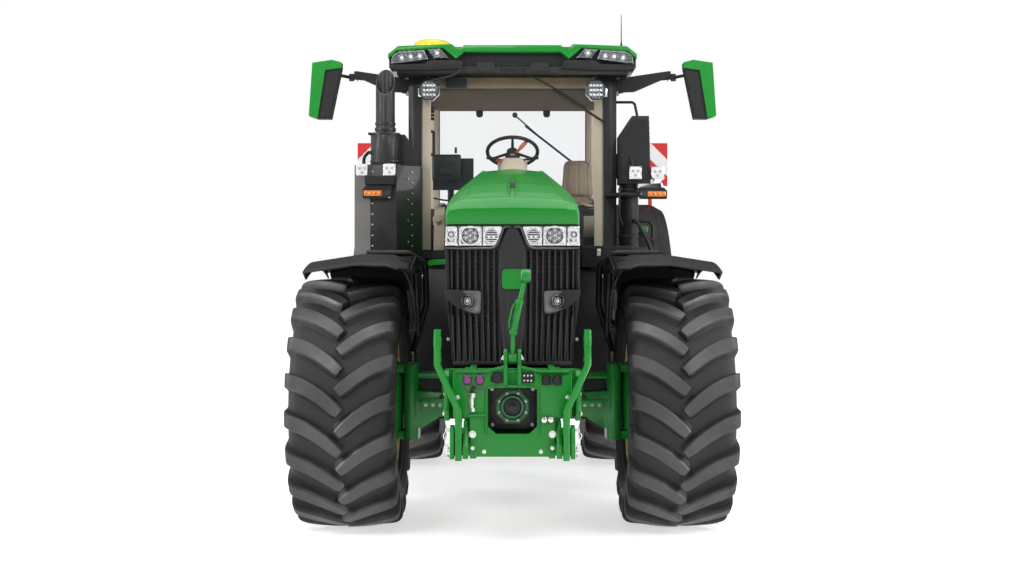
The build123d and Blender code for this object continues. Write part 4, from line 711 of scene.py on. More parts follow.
def add_headlamps():
    """The bezels, reflectors, diodes and covers of the headlamps."""
    face = NOSE + 0.014
    for name in both_sides():
        shells, bowls, diodes, covers = Form(), Form(), Form(), Form()
        for corners, ((eye_x, eye_z), eye_r, count) in zip(lamp_corners, lamp_eyes):
            outer = rounded(corners, 0.018, 4)
            frame_strip(shells, outer, shrunk(outer, 0.009), "y", face - 0.003, face - 0.014)
            eye = (eye_x, face - 0.004, eye_z)
            hoop(shells, eye, AHEAD, eye_r + 0.004, 0.006, 0.012)
            bowls.turned([(0.0, 0.001), (0.0, eye_r * 0.55), (0.002, eye_r * 0.9), (0.006, eye_r)],
                         (eye[0], face - 0.001, eye_z), AHEAD, 32)
            if count == 7:
                spots = [(0, 0)] + [(0.03 * cos(k * pi / 3 + 0.5), 0.03 * sin(k * pi / 3 + 0.5))
                                    for k in range(6)]
                for dx, dz in spots:
                    hoop(shells, (eye[0] + Form.side * dx, face - 0.003, eye_z + dz), AHEAD, 0.0125, 0.002,
                        0.006, 18)
                    disc(diodes, (eye[0] + Form.side * dx, face - 0.002, eye_z + dz), AHEAD, 0.008, 0.003,
                        0.004, 14)
            elif count == 5:
                for k in range(5):
                    z = eye_z - 0.028 + 0.014 * k
                    reach = sqrt(max(eye_r ** 2 - (z - eye_z) ** 2, 0)) - 0.003
                    shells.box(eye[0] - reach, eye[0] + reach, face - 0.009, face - 0.004, z - 0.0022,
                        z + 0.0022)
                for dx in (-0.014, 0.014):
                    disc(diodes, (eye[0] + Form.side * dx, face - 0.004, eye_z - 0.006), AHEAD, 0.008,
                        0.004, 0.004, 14)
            else:
                for k, dz in enumerate((0.028, 0.0, -0.028)):
                    hoop(shells, (eye[0], face - 0.004, eye_z + dz), AHEAD, 0.0125, 0.002, 0.007, 18)
                    disc(diodes, (eye[0], face - 0.003, eye_z + dz), AHEAD, 0.009, 0.003, 0.004, 14)
        cover = rounded(((0.06, 1.8805), (0.393, 1.8805), (0.397, 1.766), (0.1, 1.766)), 0.014, 4)
        covers.prism(cover, "y", face - 0.0165, face - 0.019)
        piece(shells, f"headlamp_shells_{name}", "chrome", 0.0008, "hood")
        piece(bowls, f"headlamp_bowls_{name}", "gloss black", 0, "hood")
        piece(diodes, f"headlamp_diodes_{name}", "lit diode", 0, "hood")
        piece(covers, f"headlamp_cover_{name}", "lamp glass", 0, "hood")


def add_grille():
    """The grille's bezel, column, mesh, blank plate and fog lamps."""
    bezel = Form()
    for _ in both_sides():
        # Glossy brow that runs down the column's edge and out under the lamps.
        bezel.pipe([(0.012, NOSE + 0.012, 1.877), (0.05, NOSE + 0.008, 1.88),
                    (0.092, NOSE + 0.004, 1.77), (0.118, NOSE + 0.006, 1.752),
                    (0.3, NOSE + 0.034, 1.752), (0.392, NOSE + 0.082, 1.756)],
                   0.0095, 12, 0.022)
        bezel.pipe([(0.318, NOSE + 0.012, 1.764), (0.318, NOSE + 0.012, 1.88)], 0.004, 8)
        bezel.pipe([(0.177, NOSE + 0.012, 1.764), (0.177, NOSE + 0.012, 1.88)], 0.004, 8)
    piece(bezel, "grille_bezel", "gloss black", 0, "hood")
    column = Form()
    outline = [(-0.024, 1.872), (0.024, 1.872), (0.08, 1.742), (0.084, 1.5), (0.07, 1.3), (0.052, 1.075),
               (-0.052, 1.075), (-0.07, 1.3), (-0.084, 1.5), (-0.08, 1.742)]
    column.prism(rounded(outline, 0.012, 3), "y", NOSE + 0.03, NOSE + 0.012)
    for _ in both_sides():
        column.pipe([(0.066, NOSE + 0.011, 1.735), (0.07, NOSE + 0.011, 1.5),
                     (0.058, NOSE + 0.011, 1.3), (0.042, NOSE + 0.011, 1.09)], 0.003, 8, 0.05)
        column.pipe([(0.03, NOSE + 0.011, 1.44), (0.034, NOSE + 0.011, 1.24),
                     (0.02, NOSE + 0.011, 1.2)], 0.0025, 8, 0.03)
    piece(column, "grille_column", "perforated black", 0.003, "hood")
    plate = Form()
    badge = rounded([(-0.06, 1.512), (0.06, 1.512), (0.064, 1.57), (0.058, 1.63), (-0.058, 1.63),
                     (-0.064, 1.57)], 0.024, 5)
    plate.prism(badge, "y", NOSE + 0.009, NOSE + 0.001)
    inner = shrunk(badge, 0.006)
    frame_strip(plate, badge, inner, "y", NOSE + 0.004, NOSE - 0.002)
    piece(plate, "blank_badge", "green paint", 0.0015, "hood")
    # Upright ribs, in two runs where a fog lamp sits between them.
    bars = Form()
    rib_pitch = 0.036
    for number in range(21):
        x = (number - 10) * rib_pitch
        if abs(x) < 0.09:
            continue
        bow = NOSE + 0.026 + 0.075 * (x / 0.4) ** 2
        sway = 0.045 * (1 if x > 0 else -1)
        top = 1.742
        low = 1.086
        runs = ((1.515, top), (low, 1.352)) if 0.18 < abs(x) < 0.4 else ((low, top),)
        for z0, z1 in runs:
            steps = 7
            line = [(x - sway * 0.35 * ((top - z) / (top - low)) ** 2 * (1 if abs(x) > 0.15 else 0.6),
                     bow - 0.006, z) for z in (z0 + (z1 - z0) * k / steps for k in range(steps + 1))]
            bars.rings([[(px - 0.0055, py + 0.012, pz), (px - 0.004, py, pz), (px + 0.004, py, pz),
                         (px + 0.0055, py + 0.012, pz)] for px, py, pz in line])
    piece(bars, "grille_bars", "grille bar", 0.001, "hood")
    # Cross bars behind the ribs, short where the fog lamps are.
    mesh = Form()
    for _ in both_sides():
        for k in range(22):
            z = 1.106 + 0.029 * k
            reach = 0.18 if 1.35 < z < 1.515 else 0.345 + 0.045 * (z - 1.1) / 0.6
            rings = []
            for j in range(7):
                x = 0.09 + (reach - 0.09) * j / 6
                y = NOSE + 0.04 + 0.075 * (x / 0.4) ** 2
                rings.append([(x, y, z - 0.002), (x, y - 0.003, z), (x, y, z + 0.002)])
            mesh.rings(rings)
    piece(mesh, "grille_cross_bars", "grille bar", 0, "hood")
    for name in both_sides():
        pod, rims, lens = Form(), Form(), Form()
        outline = [(0.4, 1.505), (0.196, 1.5), (0.186, 1.49), (0.188, 1.376), (0.204, 1.364),
                   (0.25, 1.373), (0.328, 1.407), (0.385, 1.454), (0.397, 1.478)]
        curve = rounded(outline, 0.016, 3)
        bow = [NOSE + 0.026 + 0.28 * (abs(x) - 0.19) for x, z in curve]
        rings = [[(x, y, z) for (x, z), y in zip(curve, bow)],
                 [(x, y - 0.02, z) for (x, z), y in zip(curve, bow)],
                 [(x, y - 0.028, z) for (x, z), y in zip(shrunk(curve, 0.007), bow)],
                 [(x, y - 0.028, z) for (x, z), y in zip(shrunk(curve, 0.014), bow)],
                 [(x, y - 0.023, z) for (x, z), y in zip(shrunk(curve, 0.018), bow)]]
        pod.rings(rings)
        out = Vector((0.27, -0.963, 0))
        eye = Vector((0.264, NOSE + 0.024, 1.44))
        rims.turned([(0.004, 0.026), (0.004, 0.04), (0.014, 0.04), (0.017, 0.036), (0.01, 0.03),
            (0.004, 0.026)], eye, out, 32)
        rims.turned([(0.001, 0.001), (0.001, 0.036)], eye, out, 28)
        hoop(lens, eye + out * 0.003, out, 0.021, 0.0025, 0.004, 24)
        disc(lens, eye + out * 0.001, out, 0.013, 0.004, 0.006, 20)
        piece(pod, f"fog_lamp_pod_{name}", "moulded grey", 0.002, "hood")
        piece(rims, f"fog_lamp_rim_{name}", "gloss black", 0.001, "hood")
        piece(lens, f"fog_lamp_lens_{name}", "lens grey", 0, "hood")


# ---- front linkage
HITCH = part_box("front_hitch_frame")[0][1]
LIFT = pivot["front_lift"]
FOLD = pivot["front_fold_left"]
TOP = pivot["front_top_pivot"]


def add_hitch_plate():
    """Couplers, sockets, bolts and ribs on the plate of the front linkage."""
    face = HITCH
    caps, blacks, steel, bolts, green = Form(), Form(), Form(), Form(), Form()
    for x in (-0.256, -0.185):
        disc(blacks, (x, face, 1.002), AHEAD, 0.027, 0.008, 0, 24)
        disc(caps, (x, face - 0.008, 1.002), AHEAD, 0.022, 0.014, 0.003, 24)
        caps.box(x - 0.016, x + 0.016, face - 0.024, face - 0.012, 1.02, 1.032)
        caps.pipe([(x - 0.02, face - 0.012, 0.99), (x - 0.026, face - 0.01, 0.955), (x, face - 0.012, 0.94),
                   (x + 0.026, face - 0.01, 0.955), (x + 0.02, face - 0.012, 0.99)], 0.0025, 8, 0.02)
    for x in (0.191, 0.252):
        blacks.prism(rounded_box(x - 0.027, x + 0.027, 0.975, 1.03, 0.008),
                     "y", face, face - 0.01)
        disc(blacks, (x, face - 0.01, 1.002), AHEAD, 0.022, 0.018, 0.004, 24)
        blacks.box(x - 0.012, x + 0.012, face - 0.03, face - 0.012, 1.016, 1.028)
    # Seven-pole socket in one window, and the data socket in the other.
    disc(blacks, (-0.086, face + 0.006, 1.016), AHEAD, 0.034, 0.02, 0.006, 28)
    disc(blacks, (-0.086, face - 0.014, 1.016), AHEAD, 0.024, 0.01, 0.004, 28)
    blacks.prism(rounded_box(0.052, 0.12, 0.986, 1.044, 0.008), "y",
                 face + 0.006, face - 0.016)
    for dx in (-0.02, 0, 0.02):
        for dz in (-0.014, 0.014):
            disc(steel, (0.086 + dx, face - 0.016, 1.015 + dz), AHEAD, 0.0055, 0.004, 0.001, 12)
    # Coupling of the lift ram, with its hose, on the right.
    steel.rod((-0.229, face - 0.018, 0.832), (-0.229, face - 0.018, 0.928), 0.013)
    steel.rod((-0.229, face - 0.018, 0.905), (-0.229, face - 0.018, 0.93), 0.021, sides=6)
    steel.rod((-0.229, face - 0.018, 0.826), (-0.229, face - 0.018, 0.846), 0.019, sides=6)
    blacks.pipe([(-0.229, face - 0.018, 0.93), (-0.229, face - 0.022, 0.952), (-0.215, face - 0.005, 0.962),
                 (-0.2, face + 0.03, 0.958)], 0.009, 10, 0.02)
    green.box(-0.242, -0.15, face - 0.02, face, 0.8, 0.812)
    # Accumulators on the left.
    for x, y in ((0.179, -0.03), (0.217, -0.024)):
        steel.turned([(-0.03, 0.004), (-0.028, 0.016), (-0.014, 0.0215), (0.004, 0.0215), (0.018, 0.016),
            (0.023, 0.002)], (x, face + y + 0.012, 0.781), AHEAD, 28)
        blacks.rod((x, face, 0.781), (x, face + y + 0.02, 0.781), 0.01)
    # Stiffening ribs on the front plate.
    for _ in both_sides():
        green.pipe([(0.15, face - 0.004, 0.7), (0.15, face - 0.004, 0.955),
                    (0.08, face - 0.004, 0.968)], 0.0065, 8, 0.02)
        green.prism([(0.05, 1.083), (0.15, 1.057), (0.325, 1.057), (0.325, 1.046), (0.15, 1.046),
                              (0.05, 1.07)], "y", face - 0.018, face)
        green.box(0.03, 0.05, face - 0.02, face, 0.975, 1.085)
        for x, z in ((0.226, 0.696), (0.226, 0.618), (0.31, 0.815), (0.31, 0.905), (0.16, 0.598)):
            size = 0.017 if z == 0.696 else 0.0095
            bolts.bolt((x, face, z), AHEAD, size)
        bolts.bolt((LIFT[0] + 0.242, LIFT[1], LIFT[2]), LEFT, 0.012)
        # Bolts of the side cheek.
        for y, z in ((0.1, 0.8), (0.1, 1.01), (0.19, 0.8), (0.19, 1.01), (0.19, 0.905)):
            bolts.bolt((0.39, face + y, z), LEFT, 0.01)
    green.box(-0.028, 0.028, face - 0.016, face, 0.962, 0.975)
    # Parked handle of the top link's pin.
    steel.rod((-0.062, TOP[1], TOP[2]), (0.062, TOP[1], TOP[2]), 0.009, sides=16)
    for _ in both_sides():
        steel.rod((0.05, TOP[1], TOP[2]), (0.056, TOP[1], TOP[2]), 0.021, sides=20)
        steel.pipe([(0.06, TOP[1] - 0.02, TOP[2]), (0.06, TOP[1] + 0.02, TOP[2] + 0.004),
                    (0.07, TOP[1] + 0.01, TOP[2] - 0.03), (0.062, TOP[1] - 0.016, TOP[2] - 0.004)],
                   0.0022, 8, 0.01)
    piece(caps, "coupler_caps", "purple cap", 0.0012)
    piece(blacks, "hitch_sockets", "moulded black", 0.0012)
    piece(steel, "hitch_couplings", "zinc steel", 0.0008)
    piece(bolts, "hitch_bolts", "zinc steel", 0.0008)
    piece(green, "hitch_ribs", "green paint", 0.0015)


def add_front_links():
    """Pins, rings and catches of the folding links."""
    for name in both_sides():
        # Fork end: pin with its linchpin and hanging ring.
        pin, ring = Form(), Form()
        outer = 0.35
        pin.rod((outer, FOLD[1], FOLD[2]), (outer + 0.02, FOLD[1], FOLD[2]), 0.018)
        pin.rod((outer + 0.01, FOLD[1], FOLD[2] + 0.028), (outer + 0.01, FOLD[1], FOLD[2] - 0.03), 0.005)
        hoop_line = []
        for k in range(25):
            angle = 2 * pi * k / 24
            hoop_line.append((outer + (0.022 + 0.013 * cos(angle)), FOLD[1] - 0.012,
                              FOLD[2] + 0.008 + 0.037 * sin(angle)))
        ring.pipe(hoop_line, 0.0026, 8, 0.004)
        piece(pin, f"front_link_pin_{name}", "zinc steel", 0.001, f"front_link_{name}")
        piece(ring, f"front_link_ring_{name}", "zinc steel", 0, f"front_link_{name}")
        second = Form()
        second.rod((outer, FOLD[1] + 0.05, FOLD[2] + 0.115), (outer + 0.03, FOLD[1] + 0.05,
            FOLD[2] + 0.115), 0.011)
        second.pipe([(outer + 0.024, FOLD[1] + 0.05, FOLD[2] + 0.145),
                     (outer + 0.024, FOLD[1] + 0.05, FOLD[2] + 0.075),
                     (outer + 0.034, FOLD[1] + 0.045, FOLD[2] + 0.06),
                     (outer + 0.04, FOLD[1] + 0.045, FOLD[2] + 0.085),
                     (outer + 0.03, FOLD[1] + 0.05, FOLD[2] + 0.1)], 0.0028, 8, 0.01)
        second.rod((0.242, LIFT[1], LIFT[2]), (0.286, LIFT[1], LIFT[2]), 0.026)
        second.bolt((0.286, LIFT[1], LIFT[2]), LEFT, 0.016)
        piece(second, f"front_arm_pins_{name}", "zinc steel", 0.001, "front_lift_arms")
        # Catch and spring of the hook at the link's top.
        catch = Form()
        top_x = 0.42
        hoop(catch, (top_x - 0.021 * Form.side, FOLD[1], 1.22), (Form.side, 0, 0), 0.034, 0.014, 0.042)
        catch.prism([(FOLD[1] - 0.045, 1.285), (FOLD[1] - 0.01, 1.29), (FOLD[1] - 0.03, 1.19),
            (FOLD[1] - 0.049, 1.2)], "x", top_x - 0.01, top_x + 0.01)
        catch.rod((0.398, FOLD[1] + 0.02, 1.12), (0.442, FOLD[1] + 0.02, 1.12), 0.009)
        catch.rod((0.28, FOLD[1], 0.78), (0.324, FOLD[1], 0.78), 0.008)
        piece(catch, f"front_link_catch_{name}", "green paint", 0.002, f"front_link_{name}")


def add_front_top_link():
    """Turnbuckle, oil pipe and eye of the top link."""
    barrel, eye = Form(), Form()
    lean = Vector((0.04, -0.025, 0.2)).normalized()
    low = Vector((0.002, TOP[1] - 0.017, 1.262))
    for along, radius, length in ((0.0, 0.026, 0.018), (0.178, 0.026, 0.02), (0.085, 0.0235, 0.03)):
        barrel.rod(low + lean * along, low + lean * (along + length), radius, sides=6)
    barrel.pipe([low + lean * 0.03 + Vector((-0.024, -0.01, 0)),
        low + lean * 0.06 + Vector((-0.034, -0.016, 0)), low + lean * 0.15 + Vector((-0.034, -0.016, 0)),
        low + lean * 0.18 + Vector((-0.022, -0.01, 0))], 0.005, 10, 0.02)
    hoop(eye, (0.048, TOP[1] - 0.06, 1.59), LEFT, 0.03, 0.012, 0.054)
    piece(barrel, "top_link_sleeve", "green paint", 0.002, "front_top_link")
    piece(eye, "top_link_eye", "worn steel", 0.001, "front_top_link")


def add_front_shaft():
    """Flange, bolts and splines of the front power take-off."""
    pto_z = 0.841
    flange, bright = Form(), Form()
    outline = [(0.105 * cos(a), pto_z + 0.105 * sin(a)) for a in
               (pi / 8 + pi / 4 * k for k in range(8))]
    y0 = LIFT[1] + 0.05
    flange.prism(outline, "y", y0, y0 - 0.022)
    hoop(flange, (0, y0 - 0.022, pto_z), AHEAD, 0.092, 0.018, 0.016)
    hoop(flange, (0, y0 - 0.022, pto_z), AHEAD, 0.066, 0.014, 0.026)
    for k in range(8):
        angle = pi / 8 + pi / 4 * k
        bright.bolt((0.083 * cos(angle), y0 - 0.038, pto_z + 0.083 * sin(angle)), AHEAD, 0.007)
    for x, z in ((0.115, 0.735), (-0.115, 0.735), (0.118, 0.94), (-0.118, 0.94)):
        bright.bolt((x, y0 - 0.002, z), AHEAD, 0.009)
    for k in range(6):
        angle = pi / 3 * k
        flange.rod((0.0155 * cos(angle), y0 - 0.02, pto_z + 0.0155 * sin(angle)),
                   (0.0155 * cos(angle), y0 - 0.1, pto_z + 0.0155 * sin(angle)), 0.0035, sides=8)
    piece(flange, "front_shaft_flange", "dark green casting", 0.0015)
    piece(bright, "front_shaft_bolts", "worn steel", 0.0006)


# ---- front axle
def add_front_axle():
    """The steering rams, hoses, bolts and hubs of the front axle."""
    iron, rods, hoses, bolts = Form(), Form(), Form(), Form()
    z = pivot["steer_left"][2]
    for _ in both_sides():
        iron.rod((0.12, FRONT + 0.15, z + 0.035), (0.4, FRONT + 0.15, z + 0.035), 0.038)
        iron.rod((0.375, FRONT + 0.15, z + 0.035), (0.41, FRONT + 0.15, z + 0.035), 0.044)
        rods.rod((0.41, FRONT + 0.15, z + 0.035), (0.56, FRONT + 0.15, z + 0.035), 0.018)
        hoses.pipe([(0.38, FRONT + 0.15, z + 0.08), (0.37, FRONT + 0.12, z + 0.14),
                    (0.3, FRONT + 0.05, z + 0.13), (0.285, FRONT + 0.16, z + 0.19)], 0.009, 10, 0.04)
        hoses.pipe([(0.46, FRONT - 0.118, z + 0.03), (0.4, FRONT - 0.125, z + 0.09),
                    (0.31, FRONT - 0.118, z + 0.13), (0.288, FRONT - 0.06, z + 0.17)], 0.008, 10, 0.04)
        # Bolt heads: ears, arm and the beam's plate.
        for y in (-0.055, 0.055):
            bolts.bolt((0.655, FRONT + y, z + 0.2357), UP, 0.012)
            bolts.bolt((0.41, FRONT + y, z + 0.178), UP, 0.01)
            bolts.bolt((0.5, FRONT + y, z + 0.178), UP, 0.01)
        for x in (0.455, 0.5, 0.545):
            bolts.bolt((x, FRONT - 0.128, z - 0.015), AHEAD, 0.009)
        iron.prism(rounded_box(0.43, 0.57, z - 0.035, z + 0.008, 0.01), "y", FRONT - 0.11, FRONT - 0.13)
        for k in range(6):
            angle = pi / 3 * k
            bolts.bolt((0.02 + 0.125 * cos(angle), FRONT - 0.1705, z - 0.045 + 0.125 * sin(angle)),
                       AHEAD, 0.008)
    piece(iron, "axle_castings", "green casting", 0.002)
    piece(rods, "steering_rods", "oiled rod", 0.001)
    piece(hoses, "axle_hoses", "hose rubber", 0)
    piece(bolts, "axle_bolts", "worn steel", 0.0008)
    for name in both_sides():
        hub, pins = Form(), Form()
        for dz in (0.236, -0.236):
            way = 1 if dz > 0 else -1
            hub.turned([(0, 0.001), (0, 0.062), (0.014, 0.058), (0.018, 0.045), (0.018, 0.001)],
                       (0.78, FRONT, z + dz), (0, 0, way), 32)
            for k in range(4):
                angle = pi / 4 + pi / 2 * k
                pins.bolt((0.78 + 0.046 * cos(angle), FRONT + 0.046 * sin(angle), z + dz + way * 0.016),
                          (0, 0, way), 0.007)
        hub_ring, bare = Form(), Form()
        centre = (0.897, FRONT, z)
        hoop(hub_ring, centre, LEFT, 0.158, 0.04, 0.02, 40)
        for k in range(12):
            angle = pi / 6 * k
            bare.bolt((0.897, FRONT + 0.14 * cos(angle), z + 0.14 * sin(angle)), RIGHT, 0.008)
        bare.pipe([(0.655, FRONT + 0.262, z + 0.155), (0.655, FRONT + 0.262, z + 0.3)], 0.024, 12)
        piece(hub, f"kingpin_caps_{name}", "green casting", 0.0015)
        piece(pins, f"kingpin_bolts_{name}", "worn steel", 0.0006)
        piece(hub_ring, f"hub_ring_{name}", "green casting", 0.0015, f"knuckle_{name}")
        piece(bare, f"hub_bolts_{name}", "worn steel", 0.0006, f"knuckle_{name}")


def add_fender_liners():
    """The flaps, inner walls, ribs and hoses under the front fenders."""
    for name in both_sides():
        liner, bright = Form(), Form()
        low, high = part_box(f"front_fender_{name}")
        back, front = high[1], low[1]
        rear_flap = [(0.64, 1.69), (1.235, 1.65), (1.228, 1.56), (1.15, 1.48), (0.72, 1.48), (0.64, 1.52)]
        liner.prism(rounded(rear_flap, 0.04), "y", back - 0.03, back - 0.02)
        inner_wall = [(front + 0.12, 1.64), (front + 0.5, 1.715), (back - 0.12, 1.69), (back - 0.02, 1.64),
                      (back - 0.02, 1.45), (FRONT + 0.3, 1.35), (FRONT - 0.22, 1.42), (front + 0.12, 1.59)]
        liner.prism(rounded(inner_wall, 0.03), "x", 0.612, 0.62)
        for y in (FRONT - 0.26, FRONT - 0.02, FRONT + 0.22):
            drop = (y - FRONT) ** 2 / 4
            liner.prism([(0.625, 1.712 - drop), (1.18, 1.682 - drop), (1.18, 1.662 - drop),
                (0.8, 1.672 - drop), (0.625, 1.65 - drop)], "y", y, y + 0.012)
            for x in (0.72, 0.9, 1.08):
                bright.bolt((x, y + 0.03, 1.693 - drop - (x - 0.62) * 0.05), DOWN, 0.01)
        liner.pipe([(0.6, front + 0.25, 1.3), (0.612, front + 0.22, 1.5), (0.66, front + 0.24, 1.63),
                    (0.78, front + 0.3, 1.66), (0.9, front + 0.42, 1.655)], 0.012, 12, 0.1)
        liner.pipe([(0.585, front + 0.3, 1.22), (0.59, front + 0.24, 1.46), (0.6, front + 0.26, 1.6)],
                   0.016, 12, 0.1)
        piece(liner, f"fender_liner_{name}", "moulded black", 0.002, f"knuckle_{name}")
        piece(bright, f"fender_bolts_{name}", "worn steel", 0.0006, f"knuckle_{name}")


# ---- roof, lamps and mirrors
ROOF_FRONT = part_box("roof")[0][1]
corner_lamps = (
    ((0.863, 3.178), (0.82, 3.202), (0.639, 3.215), (0.612, 3.149), (0.82, 3.119), (0.877, 3.119)),
    ((0.615, 3.217), (0.52, 3.224), (0.461, 3.158), (0.567, 3.155)),
)


def add_roof_lamps():
    """The roof's corner lamps and visor, and the eight-sided work lamps."""
    face = ROOF_FRONT + 0.008
    shells, bowls, diodes, covers, lids = Form(), Form(), Form(), Form(), Form()
    visor = Form()
    visor.prism([(-0.894, 3.09), (0.894, 3.09), (0.894, 3.175), (0.82, 3.225), (-0.82, 3.225),
        (-0.894, 3.175)], "y", ROOF_FRONT + 0.066, ROOF_FRONT + 0.0795)
    piece(visor, "roof_visor", "moulded black", 0.003)
    for _ in both_sides():
        for number, corners in enumerate(corner_lamps):
            outer = rounded(corners, 0.008, 2)
            frame_strip(shells, outer, shrunk(outer, 0.006), "y", face, face - 0.008)
            covers.prism(shrunk(outer, 0.003), "y", face - 0.0085, face - 0.0105)
            bowls.prism(shrunk(outer, 0.007), "y", face - 0.0002, face - 0.0012)
            spots = ((0.67, 3.17), (0.735, 3.166), (0.8, 3.158)) if number == 0 else ((0.545, 3.192),)
            for x, z in spots:
                hoop(shells, (x, face - 0.001, z), AHEAD, 0.024, 0.004, 0.006, 20)
                disc(diodes, (x, face - 0.001, z), AHEAD, 0.013, 0.003, 0.003, 16)
            if number == 0:
                shells.box(0.7, 0.704, face - 0.007, face, 3.135, 3.206)
                shells.box(0.766, 0.77, face - 0.007, face, 3.128, 3.204)
        # Eight-sided work lamp with clear ribs over its reflector.
        centre = (0.608, CAB - 0.095, 2.935)
        ring = [(centre[0] + 0.079 * cos(a), centre[2] + 0.079 * sin(a))
                for a in (pi / 8 + pi / 4 * k for k in range(8))]
        frame_strip(lids, ring, shrunk(ring, 0.008), "y", centre[1] + 0.004, centre[1] - 0.006)
        shells.prism(shrunk(ring, 0.0085), "y", centre[1] + 0.002, centre[1] - 0.001)
        for k in range(-2, 3):
            reach = 0.064 - 0.006 * abs(k)
            shells.box(centre[0] + k * 0.024 - 0.0015, centre[0] + k * 0.024 + 0.0015, centre[1] - 0.007,
                       centre[1], centre[2] - reach, centre[2] + reach)
        for dx in (-0.036, -0.012, 0.012, 0.036):
            for dz in (-0.034, 0.0, 0.034):
                disc(diodes, (centre[0] + dx, centre[1], centre[2] + dz), AHEAD, 0.0095, 0.004, 0.004, 12)
        covers.prism(shrunk(ring, 0.006), "y", centre[1] - 0.008, centre[1] - 0.01)
        lids.pipe([(0.608, CAB - 0.05, 3.01), (0.608, CAB - 0.06, 3.04), (0.62, CAB - 0.02, 3.045)],
                  0.012, 10, 0.01)
        for k in range(5):
            x = centre[0] + (k - 2) * 0.028
            lids.box(x - 0.003, x + 0.003, CAB - 0.04, CAB - 0.018, 2.878, 2.992)
    piece(shells, "roof_lamp_shells", "chrome", 0.0006)
    piece(bowls, "roof_lamp_bowls", "chrome", 0)
    piece(diodes, "roof_lamp_diodes", "lit diode", 0)
    piece(covers, "roof_lamp_covers", "lamp glass", 0)
    piece(lids, "work_lamp_housings", "moulded black", 0.0015)


def add_small_lamps():
    """The four small lamps: a white face with three diodes."""
    faces, dots = Form(), Form()
    box_y, bar_y = CAB - 0.428, CAB - 0.21
    for x, y, z, turn in ((-0.866, box_y, 2.33, 0), (-1.062, CAB - 0.42, 2.33, 0.25),
            (0.886, bar_y, 2.325, 0), (1.049, CAB - 0.19, 2.325, -0.2)):
        across = Vector((cos(turn), sin(turn), 0))
        out = Vector((across.y, -across.x, 0))
        base = Vector((x, y - 0.001, z))
        outline = [(-0.04, 0.036), (-0.028, 0.042), (0.028, 0.042), (0.04, 0.036), (0.04, -0.036),
            (0.028, -0.042), (-0.028, -0.042), (-0.04, -0.036)]
        faces.rings([[base + across * u + Vector((0, 0, v)) for u, v in outline],
            [base + out * 0.01 + across * u * 0.96 + Vector((0, 0, v * 0.96)) for u, v in outline]])
        for u, v in ((-0.018, 0.012), (0.018, 0.012), (0, -0.018)):
            disc(dots, base + out * 0.01 + across * u + Vector((0, 0, v)), out, 0.011, 0.002, 0.002, 18)
    piece(faces, "small_lamp_faces", "white plastic", 0.0015)
    piece(dots, "small_lamp_diodes", "lens grey", 0)


def add_indicators():
    """The indicators: orange and clear, in black housings."""
    ambers, clears, cases = Form(), Form(), Form()
    for sign, inner, outer, y, low, high in ((-1, 0.856, 1.05, CAB - 0.414, 2.132, 2.218),
                                             (1, 0.916, 1.11, CAB - 0.19, 2.14, 2.216)):
        cut = inner + (outer - inner) * (0.34 if sign < 0 else 0.3)
        case = [(inner - 0.006, low + 0.02), (inner + 0.03, low - 0.004), (outer + 0.004, low - 0.004),
                (outer + 0.006, high - 0.02), (outer - 0.02, high + 0.004), (inner - 0.006, high + 0.004)]
        cases.prism(rounded(mirrored(case, sign), 0.008), "y", y + 0.01, y - 0.01)
        lens_low, lens_high = low + 0.014, low + 0.052
        ambers.prism(rounded(mirrored([(cut, lens_low), (outer - 0.004, lens_low),
            (outer - 0.002, lens_high), (cut, lens_high)], sign), 0.004), "y", y - 0.01, y - 0.018)
        clears.prism(rounded(mirrored([(inner + 0.006, lens_low + 0.008), (cut - 0.003, lens_low),
                                       (cut - 0.003, lens_high), (inner + 0.006, lens_high)], sign), 0.004),
                     "y", y - 0.01, y - 0.018)
        for k in range(4):
            x = cut + (outer - cut) * (k + 0.5) / 4
            disc(ambers, (sign * x, y - 0.018, (lens_low + lens_high) / 2), AHEAD, 0.011, 0.002, 0.003, 16)
    piece(ambers, "indicator_lenses", "orange lens", 0.001)
    piece(clears, "indicator_clear_lenses", "lamp glass", 0.001)
    piece(cases, "indicator_cases", "moulded black", 0.002)


